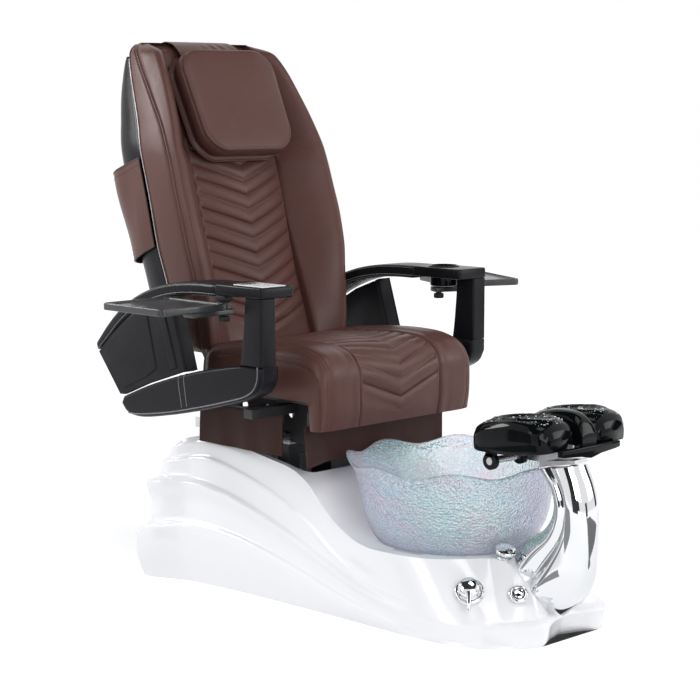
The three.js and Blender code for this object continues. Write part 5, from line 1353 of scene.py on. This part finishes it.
def make_back_seams(word, side):
    """The piping round the rear edge, and the stitches beside both side seams."""
    rows = np.linspace(BACK_BOTTOM + 8, 1436, 150)
    frames = [back_frame_at(z) for z in rows]
    rim = [(side * (half + 0.5), rear - 3, z) for z, (half, _, rear, _) in zip(rows, frames)]
    dress(tube_along(f"back_piping_{word}", rim, 2.6), piping, "back")
    sewn = []
    for behind in (-STITCH_OFFSET, SIDE_SEAM_GAP + STITCH_OFFSET):
        line = [side_point(z, side, behind, 0.4) for z in rows]
        sewn.append(stitches("row", line, [(side, 0, 0)] * len(rows)))
    dress(joined(f"back_stitches_{word}", sewn), thread, "back")


back_cover = make_back_cushion()
dress(back_cover, leather, "back", ["back_cushion"])
for word, side in SIDES:
    make_back_seams(word, side)

# ---------------------------------------------------------------- arms

ARM_OUTER = 417
ARM_WIDTH = 111
ARM_MIDDLE = ARM_OUTER - ARM_WIDTH / 2
ARM_FRONT = 30
ARM_TOP = 830
BLOCK_THICKNESS = 28
BLOCK_LENGTH = 177
POD_INNER = 357
CUP_Y = 138
CUP_RADIUS, CUP_WALL, CUP_DEPTH = 38, 3, 54


def inset_outline(outline, distance):
    """A closed outline moved inwards, square to its edges."""
    outline = np.asarray(outline, float)
    before, after = outline - np.roll(outline, 1, 0), np.roll(outline, -1, 0) - outline
    area = sum(a[0] * b[1] - b[0] * a[1] for a, b in zip(outline, np.roll(outline, -1, 0)))
    normals = []
    for a, b in zip(before, after):
        a, b = a / np.linalg.norm(a), b / np.linalg.norm(b)
        n = np.array([-(a[1] + b[1]), a[0] + b[0]])
        n = n / max(np.linalg.norm(n), 1e-6)
        cosine = max(n @ np.array([-a[1], a[0]]), 0.45)
        normals.append(n / cosine)
    return outline + np.array(normals) * distance * (1 if area > 0 else -1)


def soft_plate(name, outline, low, high, edge, axis="X", segments=4):
    """An outline pushed out along an axis, with quarter-round edges."""
    place = PUSHED_ALONG[axis]
    steps = [math.pi / 2 * k / segments for k in range(segments + 1)]
    levels = [(low + edge * (1 - math.sin(a)), edge * (1 - math.cos(a))) for a in reversed(steps)]
    levels += [(high - edge * (1 - math.sin(a)), edge * (1 - math.cos(a))) for a in steps]
    rings = [[place(a, b, h) for a, b in inset_outline(outline, inset)] for h, inset in levels]
    return new_object(name, *loft(rings), angle=45)


POST_WIDTH = 50
POD_TOP = ((ARM_FRONT, 634), (108, 633), (180, 621), (273, 602), (370, 577), (485, 541), (584, 503))
POD_UNDER = (
    (594, 484), (572, 462), (525, 454), (398, 472), (274, 499), (155, 529), (90, 548), (46, 572),
    (30, 602),
)
POD_EDGE = (
    (560, 461), (525, 462), (398, 481), (274, 508), (155, 538), (92, 557), (62, 576), (48, 604),
    (47, 634),
)
POD_SEAMS = ((330, 6), (352, 7))  # where each seam starts on the top, and how far it leans
pod_outline = [*line_through(POD_TOP, 36), *line_through(POD_UNDER, 46)]


def make_pod(word, side):
    """The padded lower pod, with two wrapped seams and a bright piping low on its outer face."""
    limits = sorted((side * POD_INNER, side * ARM_OUTER))
    pod = soft_plate(f"pod_{word}", pod_outline, *limits, 11, segments=6)
    dress(pod, black_vinyl, "seat", [f"arm_pod_{word}"])
    x = side * ARM_OUTER
    low_edge = [(x - side * 0.6, y, z) for y, z in line_through(POD_EDGE, 90)]
    dress(tube_along(f"pod_piping_{word}", low_edge, 1.7), vinyl_edge, "seat")
    strands = []
    for at, lean in POD_SEAMS:
        top = np.interp(at, *zip(*[(y, z) for y, z in line_through(POD_TOP, 40)]))
        low = 474 + (398 - at) * 0.22
        face = x - side * 0.2
        line = [
            (x - side * 12, at + 1, top + 0.5), (x - side * 3, at, top - 4), (face, at - 1, top - 14),
            (face, at - lean, mix(top, low, 0.5)), (face, at - 2 * lean, low + 16),
        ]
        strands.append(tube_along("seam", line_through(line, 30), 1.1))
    dress(joined(f"pod_seams_{word}", strands), vinyl_edge, "seat")


def make_post(word, side):
    x = side * (ARM_OUTER - 1 - POST_WIDTH / 2)
    rings = []
    for t in np.linspace(0, 1, 12):
        z = mix(634.4, ARM_TOP - BLOCK_THICKNESS - 0.4, t)
        depth = mix(76, 62, t) + 3 * (1 - t) ** 6
        section = rounded_rect(POST_WIDTH / 2, depth / 2, 6, 5, (x, ARM_FRONT + 2 + depth / 2))
        rings.append([(a, b, z) for a, b in section])
    post = new_object(f"post_{word}", *loft(rings), angle=50)
    dress(post, black_shell, "seat", [f"arm_post_{word}"])


def make_block(word, side):
    x, y = side * ARM_MIDDLE, ARM_FRONT + BLOCK_LENGTH / 2
    plan = rounded_rect(ARM_WIDTH / 2, BLOCK_LENGTH / 2, 9, 6, (x, y))
    made = soft_plate(f"block_{word}", plan, ARM_TOP - BLOCK_THICKNESS, ARM_TOP, 5, "Z")
    if side > 0:
        radius = CUP_RADIUS + 0.4
        hole = ((0, 770), (radius, 770), (radius, 840), (0, 840))
        boolean(made, turned("hole", hole, (x, CUP_Y, 0), sides=72))
    else:
        boolean(made, block("seat", (x - 40, x + 40), (42, 154), (ARM_TOP - 2, ARM_TOP + 5), 0))
    smooth_shade(made, 40)
    dress(made, black_shell, "seat", [f"arm_block_{word}"])


KEY_ROWS, KEY_COLUMNS = 5, 4
KEY_PITCH = (17.4, 14.5)
FIRST_KEY = (-26, 58)  # across from the keypad's middle, and along the arm


def make_keypad():
    """A pale membrane with a blank window and rows of blank domed keys."""
    x = -ARM_MIDDLE
    plan = rounded_rect(39.5, 55.5, 4, 5, (x, 98))
    pad = soft_plate("keypad_face", plan, ARM_TOP - 1.6, ARM_TOP + 1.5, 0.7, "Z", 2)
    dress(pad, membrane, "seat", ["keypad"])
    keys = []
    for row in range(KEY_ROWS):
        for column in range(KEY_COLUMNS):
            if row == KEY_ROWS - 1 and column in (1, 2):
                continue
            centre = (x + FIRST_KEY[0] + column * KEY_PITCH[0], FIRST_KEY[1] + row * KEY_PITCH[1])
            oval = rounded_rect(5.6, 3.9, 3.6, 5, centre)
            keys.append(soft_plate("key", oval, ARM_TOP + 1.2, ARM_TOP + 2.5, 0.8, "Z", 3))
    dress(joined("keypad_keys", keys), silver, "seat")
    glazing = rounded_rect(27, 8, 2, 4, (x, 138))
    window = soft_plate("keypad_window", glazing, ARM_TOP + 1.2, ARM_TOP + 1.8, 0.3, "Z", 2)
    dress(window, gloss, "seat")
    dome = ((0, 0), (1.6, 0), (1.4, 0.7), (0, 1.0))
    lamps = [turned("lamp", dome, (x - 18 + 12 * k, 124, ARM_TOP + 1.4), sides=16) for k in range(4)]
    dress(joined("keypad_lamps", lamps), dark_plastic, "seat")


def make_cup():
    low, top = ARM_TOP - CUP_DEPTH, ARM_TOP
    inner = CUP_RADIUS - CUP_WALL
    cup = turned("cup_well", (
        (0, low), (CUP_RADIUS - 4, low), (CUP_RADIUS - 1, low + 1.5), (CUP_RADIUS, low + 5),
        (CUP_RADIUS, top + 0.4), (CUP_RADIUS + 5, top + 0.4), (CUP_RADIUS + 5, top + 1.6),
        (CUP_RADIUS + 3.6, top + 3), (CUP_RADIUS + 1.5, top + 3.5), (CUP_RADIUS - 1, top + 3.2),
        (inner, top + 1.5), (inner, low + 8), (inner - 1.5, low + 4.5), (inner - 5, low + CUP_WALL),
        (0, low + CUP_WALL),
    ), (ARM_MIDDLE, CUP_Y, 0), sides=96)
    dress(cup, gloss, "seat", ["cup_holder"])


ARCH_LINE = (
    (207.4, 812), (290, 811), (370, 804), (450, 787), (530, 757), (605, 714), (665, 665), (716, 618),
)
ARCH_STEPS = 90
# Each pair of piped edges: its share of the half height, distance in from the side, and radius.
ARCH_EDGES = ((-0.52, 0.4, 1.0), (0.66, 2.4, 0.7))


def arch_rings(side):
    """The arch's centres, ways up, half widths, and half widths and heights after its closing in."""
    line = line_through(ARCH_LINE, ARCH_STEPS)
    rings = []
    for i, (y, z) in enumerate(line):
        before, after = line[max(i - 1, 0)], line[min(i + 1, ARCH_STEPS)]
        way = np.array([0, after[0] - before[0], after[1] - before[1]])
        way = np.array([0, 1, 0]) if i == 0 else way / np.linalg.norm(way)
        share = i / ARCH_STEPS
        half = mix(52, 42, float(ramp(share, 0.5, 1)))
        deep = 17.5 * (1 - 0.25 * float(ramp(share, 0.85, 1)))
        close = math.sqrt(max(1 - max((share - 0.965) / 0.04, 0) ** 2, 0.1))
        close *= mix(0.93, 1, float(ramp(share, 0, 0.02)))
        centre, up = np.array([side * ARM_MIDDLE, y, z]), np.array([0, -way[2], way[1]])
        rings.append((centre, up, half, half * mix(1, close, 0.35), deep * close))
    return rings


def make_arch(word, side):
    rings = []
    for centre, up, half, reach, deep in arch_rings(side):
        ring = []
        for a, b in rounded_rect(reach, deep, 11, 6):
            crown = 2.2 * (1 - (a / half) ** 2) - 1.2 if b > 0 else 0
            ring.append(centre + (a, 0, 0) + up * (b + crown))
        rings.append(ring)
    arch = new_object(f"arch_{word}", *loft(rings), angle=60)
    dress(arch, black_vinyl, "seat", [f"arm_arch_{word}"])
    strands = []
    for height, inset, radius in ARCH_EDGES:
        for edge in (1, -1):
            path = [
                centre + (edge * (reach - inset), 0, 0) + up * deep * height
                for centre, up, _, reach, deep in arch_rings(side)
            ]
            strands.append(tube_along("edge", path, radius))
    dress(joined(f"arch_edges_{word}", strands), vinyl_edge, "seat")


SHIELD = (
    (334, 594), (392, 778), (450, 764), (520, 738), (590, 699), (645, 656), (694, 612), (604, 506),
    (584, 507), (485, 546), (400, 573),
)
SHIELD_FIELD = (
    (446, 590), (482, 728), (490, 737), (502, 737), (548, 718), (600, 682), (648, 640), (668, 614),
    (600, 530), (586, 524), (492, 562),
)
SHIELD_LIP = ((334, 594), (392, 778), (408, 773), (350, 589))
SHIELD_REAR_LIP = ((604, 506), (694, 612), (682, 622), (590, 511))
SHIELD_FOLD = ((362, 600), (420, 768), (446, 760), (388, 592))
# Each part's name, outline, inner and outer distance in from the shield's face, edge and segments.
SHIELD_PARTS = (
    ("skin", SHIELD, 12, 0, 2.2, 3),
    ("lip", SHIELD_LIP, 46, 4, 2, 3),
    ("rear_lip", SHIELD_REAR_LIP, 38, 4, 2, 3),
    ("fold", SHIELD_FOLD, 6, -3.6, 3.4, 4),
    ("field", SHIELD_FIELD, 6, -2.6, 2.8, 4),
)


def make_shield(word, side):
    """The moulded closing panel: a flat skin with a raised field, an upright fold and rolled edges."""
    outer = ARM_OUTER - 7
    parts = []
    for name, outline, deep, shallow, edge, segments in SHIELD_PARTS:
        limits = sorted((side * (outer - deep), side * (outer - shallow)))
        parts.append(soft_plate(name, outline, *limits, edge, segments=segments))
    dress(joined(f"shield_{word}", parts), shield_plastic, "seat", [f"arm_shield_{word}"])


TRAY_PIVOT = (398, 190)
TRAY_TOP = 785
TRAY_THICKNESS = 18
TRAY_LOW = TRAY_TOP - TRAY_THICKNESS
TRAY_REACH, TRAY_LENGTH, TRAY_INNER, TRAY_FRONT = 214, 240, 20, -40
TRAY_RIM = 7
FAR_TRAY_SWING = 24


def make_tray(word, side):
    centre = (TRAY_INNER + TRAY_REACH / 2, TRAY_FRONT + TRAY_LENGTH / 2)
    plan = rounded_rect(TRAY_REACH / 2, TRAY_LENGTH / 2, 18, 8, centre)
    pan = rounded_rect(TRAY_REACH / 2 - TRAY_RIM, TRAY_LENGTH / 2 - TRAY_RIM, 13, 8, centre)
    tray = soft_plate("tray", plan, TRAY_LOW, TRAY_TOP, 3, "Z")
    boolean(tray, soft_plate("pan", pan, TRAY_TOP - 5, TRAY_TOP + 30, 3, "Z"))
    smooth_shade(tray, 40)
    low = TRAY_LOW
    boss_section = (
        (8.6, low - 12), (15, low - 12), (16, low - 11), (16, TRAY_TOP - 1), (15, TRAY_TOP),
        (8.6, TRAY_TOP), (8.6, low - 12),
    )
    screw_section = (
        (0, low - 13), (4.4, low - 13), (5, low - 14), (5, low - 16), (3, low - 17), (0, low - 17),
    )
    arm = block("arm", (-18, 118), (-20, 20), (low - 14, low + 0.5), 3)
    screw = turned("screw", screw_section, (92, 0, 0), sides=24)
    made = joined(f"tray_{word}_moulding", [tray, arm, turned("boss", boss_section), screw])
    if side > 0:
        made.data.transform(Matrix.Rotation(math.radians(-FAR_TRAY_SWING), 4, "Z"))
    else:
        made.data.transform(Matrix.Diagonal((-1, 1, 1, 1)))
        made.data.flip_normals()
    made.data.transform(Matrix.Translation((side * TRAY_PIVOT[0] * MM, TRAY_PIVOT[1] * MM, 0)))
    smooth_shade(made, 40)
    dress(made, tray_plastic, f"shelf_{word}", [f"tray_{word}"])


KNOB_FLUTES = 24
# The knob's radii and their depths below the tray.
KNOB_SECTION = ((11.5, 32), (13.5, 31), (14, 29), (14, 21), (13.4, 19), (11, 18))


def make_tray_bracket(word, side):
    x, y = side * TRAY_PIVOT[0], TRAY_PIVOT[1]
    knob = []
    for radius, drop in KNOB_SECTION:
        ring = []
        for k, angle in enumerate(turns(2 * KNOB_FLUTES)):
            r = radius - 0.9 * (k % 2)
            ring.append((x + r * math.cos(angle), y + r * math.sin(angle), TRAY_LOW - drop))
        knob.append(ring)
    pin_section = ((0, TRAY_LOW - 20), (8, TRAY_LOW - 20), (8, TRAY_TOP + 5), (0, TRAY_TOP + 5))
    top = ARM_TOP - BLOCK_THICKNESS - 0.4
    parts = [
        block("housing", (x - 15, x + 15), (y - 18, y + 16), (TRAY_TOP + 1.5, top), 3),
        turned("pin", pin_section, (x, y, 0), sides=32),
        new_object("knob", *loft(knob), angle=30),
    ]
    bracket = joined(f"bracket_{word}", parts)
    dress(bracket, dark_plastic, "seat", [f"tray_bracket_{word}"])


for word, side in SIDES:
    make_pod(word, side)
    make_post(word, side)
    make_block(word, side)
    make_arch(word, side)
    make_shield(word, side)
    make_tray(word, side)
    make_tray_bracket(word, side)
make_keypad()
make_cup()

# ---------------------------------------------------------------- skirts

SIDE_SKIRT_X = 252
SIDE_SKIRT_FRONT, SIDE_SKIRT_REAR = 132, 456
SIDE_SKIRT_TOP, SIDE_SKIRT_LOW = 482, 379
FRONT_SKIRT_Y = 46
FRONT_SKIRT_HALF = 258
FRONT_SKIRT_TOP, FRONT_SKIRT_LOW = 466, 368
HEM = 0.07  # the hem's share of the cloth's height


def hanging_cloth(name, place, across, down, thickness=2.4):
    """A thin sheet from a place(u, v) function, u across and v down, both from 0 to 1."""
    grid = np.array([[place(i / across, j / down) for i in range(across + 1)] for j in range(down + 1)])
    by_u, by_v = np.gradient(grid, axis=1), np.gradient(grid, axis=0)
    normal = np.cross(by_u, by_v)
    normal /= np.linalg.norm(normal, axis=2, keepdims=True)
    rings = []
    for row, out in zip(grid, normal):
        front, back = row + out * thickness / 2, row - out * thickness / 2
        rings.append([*front, *back[::-1]])
    return new_object(name, *loft(rings), angle=70), grid, normal


def hem(name, grid, normal, body):
    """Stitches round the free edges of a hanging cloth."""
    rows, columns = grid.shape[:2]
    i, j = max(round((columns - 1) * HEM * 0.4), 1), max(round((rows - 1) * HEM), 1)
    path = [(r, i) for r in range(1, rows - j)] + [(rows - 1 - j, c) for c in range(i, columns - i)]
    path += [(r, columns - 1 - i) for r in range(rows - 1 - j, 0, -1)]
    line = np.array([grid[r, c] for r, c in path])
    out = np.array([normal[r, c] for r, c in path])
    made = stitches(name, line + out * 1.2, out, 6.5, 4.4, lift=0.2)
    return dress(made, thread, body)


def make_side_skirt(word, side):
    ends = (SIDE_SKIRT_FRONT, SIDE_SKIRT_REAR)

    def place(u, v):
        y = mix(*(reversed(ends) if side < 0 else ends), u)
        along = (y - SIDE_SKIRT_FRONT) / (SIDE_SKIRT_REAR - SIDE_SKIRT_FRONT)
        wave = 3.0 * v * (1 + math.sin(along * 9)) / 2 + 1.5 * v * math.sin(along * 21 + side)
        drop = mix(SIDE_SKIRT_TOP, SIDE_SKIRT_LOW, v) - 1.5 * math.sin(along * math.pi) * v
        return (side * (SIDE_SKIRT_X + 1.5 + wave + 1.2 * v), y, drop)

    cloth, grid, normal = hanging_cloth(f"skirt_{word}_cloth", place, 90, 30)
    # The darker leather on this cloth is painted shade.
    dress(cloth, leather_painted_shade, "seat", [f"skirt_{word}"])
    stitched = hem(f"skirt_{word}_hem", grid, normal, "seat")


def make_front_skirt():
    """The front skirt, whose near lower corner curls forward."""
    def place(u, v):
        across = 2 * u - 1
        wave = 4 * v * math.sin(across * 5 + 0.6) + 2 * v * math.sin(across * 13)
        curl = max(0, 1 - math.hypot((across + 1) / 0.34, (1 - v) / 0.9)) ** 1.5
        drop = mix(FRONT_SKIRT_TOP, FRONT_SKIRT_LOW, v) + 3 * v * math.sin(across * 4)
        y = FRONT_SKIRT_Y + 1.5 - wave * 0.6 - 34 * curl - 1.5 * v
        return (across * FRONT_SKIRT_HALF - 26 * curl, y, drop - 6 * curl)

    cloth, grid, normal = hanging_cloth("skirt_front_cloth", place, 130, 34)
    # The darker leather on this cloth is painted shade.
    dress(cloth, leather_painted_shade, "seat", ["skirt_front"])
    stitched = hem("skirt_front_hem", grid, normal, "seat")


for word, side in SIDES:
    make_side_skirt(word, side)
make_front_skirt()

# ---------------------------------------------------------------- back shell, trims and pocket

TRIM_WIDTH, TRIM_DEPTH = 12, 9
SHELL_SEAM = 2.5
SHELL_STEPS = 26
SHELL_THICKNESS = 7
POCKET_FOOT, POCKET_TOP = 900, 1135
POCKET_STITCH_ROW = -4


def shell_half(z, inset=0.0):
    """Half of the shell's section at a height, from its front edge round to the rear centre."""
    front = float(rear_depth(z)) + SHELL_SEAM
    lift = 1 - 0.55 * (1 - float(ramp(z, 690, 716))) * (0.6 if inset else 1)
    rear = mix(front + 40, float(shell_depth(z)), lift) - inset
    half = float(back_half(z)) - TRIM_WIDTH - 3 - inset
    step = half + (0 if inset else 7)
    ledge = front + TRIM_DEPTH + 3
    bend = curve_through([
        (step, ledge + 1), (step - 3, mix(ledge, rear, 0.4)), (step - 18, mix(ledge, rear, 0.75)),
        (step - 52, mix(ledge, rear, 0.95)), (step * 0.42, rear), (0, rear + 0.5),
    ])
    section = [(half, front), (half, ledge - 1.5), (half + 1, ledge)]
    section += [tuple(bend(k / SHELL_STEPS)) for k in range(SHELL_STEPS + 1)]
    return [np.array((x, y, z)) for x, y in section]


def shell_ring(z, inset=0.0, forward=0.0):
    right = shell_half(z, inset)
    right[0] = right[0] - (0, forward, 0)
    return [*right, *[p * (-1, 1, 1) for p in right[-2::-1]]]


def make_back_shell():
    rows = np.concatenate([[690, 693, 698], np.arange(704, 1396, 8), [1396, 1400, 1403, 1404]])
    shell = new_object("rear_shell", *loft([shell_ring(z) for z in rows]), angle=40)
    hollow_rings = [shell_ring(z, SHELL_THICKNESS, 20) for z in np.linspace(698, 1396, 60)]
    boolean(shell, new_object("hollow", *loft(hollow_rings)))
    bevel(shell, 1.5, 2, 50)
    smooth_shade(shell, 40)
    dress(shell, black_shell, "back", ["back_shell"])


def make_trim(word, side):
    rings = []
    for z in np.linspace(694, 1404, 90):
        outer, front = float(back_half(z)) - 3, float(rear_depth(z)) + 1.5
        middle = (outer - TRIM_WIDTH / 2 + 0.75, front + TRIM_DEPTH / 2)
        ends = 1 - 0.5 * float(ramp(abs(z - 1049), 345, 355))
        half_width, half_depth = (TRIM_WIDTH - 1.5) / 2 * ends, TRIM_DEPTH / 2 * ends
        section = rounded_rect(half_width, half_depth, 3.2 * ends, 4, middle)
        rings.append([(side * a, b, z) for a, b in section])
    trim = new_object(f"trim_{word}", *loft(rings), angle=50)
    dress(trim, silver, "back", [f"back_trim_{word}"])


def pocket_spot(u, v):
    """A place on the magazine pocket: u round from the far side to the near side, v up."""
    right = shell_half(mix(POCKET_FOOT, POCKET_TOP, v))[3:]
    whole = [p * (-1, 1, 1) for p in right] + right[-2::-1]
    at = u * (len(whole) - 1)
    i = min(int(at), len(whole) - 2)
    p = mix(whole[i], whole[i + 1], at - i)
    back = 1 - abs(2 * u - 1)
    loose = mix(1.5, 30, float(ramp(v, 0.15, 1)))
    away = mix(8, loose + 8, float(ramp(back, 0.15, 0.8)))
    flare = np.array((math.copysign(1 - back, u - 0.5), back, 0))
    flare /= np.linalg.norm(flare)
    sag = 2.5 * math.sin(back * 9 + 4 * v) * v * (1 - v) + 1.4 * math.sin(26 * u + 3 * v) * v
    p = p + flare * (away + sag)
    rear = float(rear_depth(p[2]))
    p[2] -= mix(0.4, 0.36, v) * max(p[1] - rear, 0) - 4 * math.sin(math.pi * u) * v
    return p


def make_pocket():
    cloth, grid, normal = hanging_cloth("pocket_cloth", pocket_spot, 150, 44, 2.6)
    dress(cloth, leather, "back", ["back_pocket"])
    edges = [tube_along("top", grid[-1], 2.9), tube_along("foot", grid[0], 2.6)]
    edges += [tube_along("end", grid[:, k], 2.2) for k in (0, -1)]
    edges = dress(joined("pocket_piping", edges), piping, "back")
    line, out = grid[POCKET_STITCH_ROW], -normal[POCKET_STITCH_ROW]
    stitched = stitches("pocket_stitches", line + out * 1.4, out, lift=0.2)
    dress(stitched, thread, "back")


make_back_shell()
for word, side in SIDES:
    make_trim(word, side)
make_pocket()

# ---------------------------------------------------------------- pillow and its flap

PILLOW_Y, PILLOW_Z = 619, 1272
PILLOW_LEAN = math.radians(24.6)
PILLOW_HALF_WIDTH = 158
PILLOW_HALF_HEIGHT = 150
PILLOW_CORNER = 64
OUTLINE_STEPS = 22  # of each corner, for the piping and the stitches
PILLOW_STITCH_ROWS = ((-6, -53), (5, -33))  # distance out from the outline, and depth


def stand_pillow(points):
    """From the pillow's own frame, which faces -Y, to its place on the back."""
    turn = Matrix.Rotation(-PILLOW_LEAN, 3, "X")
    return [tuple(turn @ Vector(p) + Vector((0, PILLOW_Y, PILLOW_Z))) for p in points]


def pillow_ring(grow, y, steps):
    """The pillow's outline at a depth: nearly square, a little wider at the top, with round corners."""
    half_a, half_b = PILLOW_HALF_WIDTH + grow, PILLOW_HALF_HEIGHT + grow
    ring = []
    for a, b in rounded_rect(half_a, half_b, max(PILLOW_CORNER + grow * 0.8, 10), steps):
        wide = 1 + 0.03 * b / 148 + 0.02 * (1 - (b / half_b) ** 2)
        bow = 4 * (a / half_a) ** 2 * (1 if b < 0 else -0.6) * min(half_a / 100, 1)
        ring.append((a * wide - 3, y, b - 6 + bow))
    return ring


# How far the pillow's rings stand out from its outline, and their depth, from its back to its face.
PILLOW_RINGS = (
    (-110, 25), (-60, 25), (-24, 24), (-6, 22), (2, 18.5), (5.5, 15), (3, 11.5), (-4, 9), (-5.5, 7),
    (-2, 2), (1.5, -6), (4, -15), (5, -24), (4, -33), (2.5, -38), (0, -40.6), (-1, -42), (1, -43.6),
    (2, -46), (0.5, -49), (-4, -51.5), (-11, -53.4), (-23, -55.4), (-42, -57.4), (-71, -59),
    (-110, -60),
)


def make_pillow_cover():
    """A boxed cushion: a side wall between the front and rear seams, and a crowned face."""
    rings = []
    for grow, y in PILLOW_RINGS:
        ring = np.array(pillow_ring(grow, y, 18))
        angle = np.arctan2(ring[:, 2], ring[:, 0])
        corner = np.abs(np.sin(2 * angle)) ** 3
        gather = bell(y, -30, 12) + bell(y, 2, 8)
        swell = 0.9 * gather * corner * np.sin(angle * 61) + 1.3 * wander(ring, 46, 3.1)
        out = ring * (1, 0, 1)
        out /= np.maximum(np.linalg.norm(out, axis=1, keepdims=True), 1)
        ring += out * (swell if -50 < y < 8 else 0.3 * swell)[:, None]
        ring[:, 1] += 1.1 * wander(ring, 60, 8.4)
        rings.append(stand_pillow(ring))
    cover = new_object("pillow_cover", *loft(rings), angle=80)
    soften(cover)
    smooth_shade(cover, 80)
    return cover


def make_pillow():
    """The pillow, with piping and stitches that lie on its cover."""
    cover = make_pillow_cover()
    dress(cover, leather, "headrest", ["headrest_pillow"])
    mesh = cover.data
    sides = [tuple(p.vertices) for p in mesh.polygons]
    tree = BVHTree.FromPolygons([v.co for v in mesh.vertices], sides)

    def wrapped(grow, y, lift):
        """An outline's points on the cover, and the way the cover faces there."""
        found, facing = [], []
        for p in stand_pillow(pillow_ring(grow, y, OUTLINE_STEPS)):
            spot, normal, _, _ = tree.find_nearest(Vector(p) * MM)
            found.append(spot / MM + normal * lift)
            facing.append(normal)
        return np.array(found), np.array(facing)

    edges = [
        tube_along("front", wrapped(-0.5, -42.6, 1.0)[0], 1.9, closed=True),
        tube_along("rear", wrapped(7, 15, 1.4)[0], 2.8, closed=True),
    ]
    dress(joined("pillow_piping", edges), piping, "headrest")
    rows = [stitches("row", *wrapped(*place, 0.3), 6.0, 4.2, 0.55, 0.25) for place in PILLOW_STITCH_ROWS]
    dress(joined("pillow_stitches", rows), thread, "headrest")


FLAP_ROWS = 40
FLAP_LINE = (
    (676, 1391), (690, 1409), (708, 1424), (728, 1436), (752, 1443), (780, 1443), (798, 1434),
    (809, 1419),
)


def make_flap():
    """The leather flap that runs from the pillow over the top of the back."""
    line = line_through(FLAP_LINE, FLAP_ROWS)

    def place(u, v):
        y, z = line[round(v * FLAP_ROWS)]
        across = 2 * u - 1
        gather = bell(v, 0.35, 0.22) * bell(across, 0.35, 0.4)
        pucker = 1.2 * math.sin(across * 21 + 5 * v) * gather
        return (across * mix(118, 98, v), y, z + pucker + 1.2)

    cloth, _, _ = hanging_cloth("headrest_flap", place, 90, FLAP_ROWS)
    dress(cloth, leather, None, ["headrest_strap"])
    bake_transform(cloth)


make_pillow()
make_flap()

# ---------------------------------------------------------------- parts that keep their solids

KEPT = (
    (black_steel, ("base_frame", "seat_frame", "back_frame")),
    (steel, ("footrest_bracket", "slide_rod", "slide_rail_near", "slide_rail_far", "recline_rod",
             "massage_rails")),
    (dark_plastic, ("control_box", "jet_motor", "jet_impeller", "slide_actuator", "seat_pan",
                    "recline_actuator", "massage_carriage")),
    (rubber, ("basin_gasket",)),
)
for material, names in KEPT:
    for name in names:
        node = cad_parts[name]
        node.data.materials.clear()
        node.data.materials.append(material)
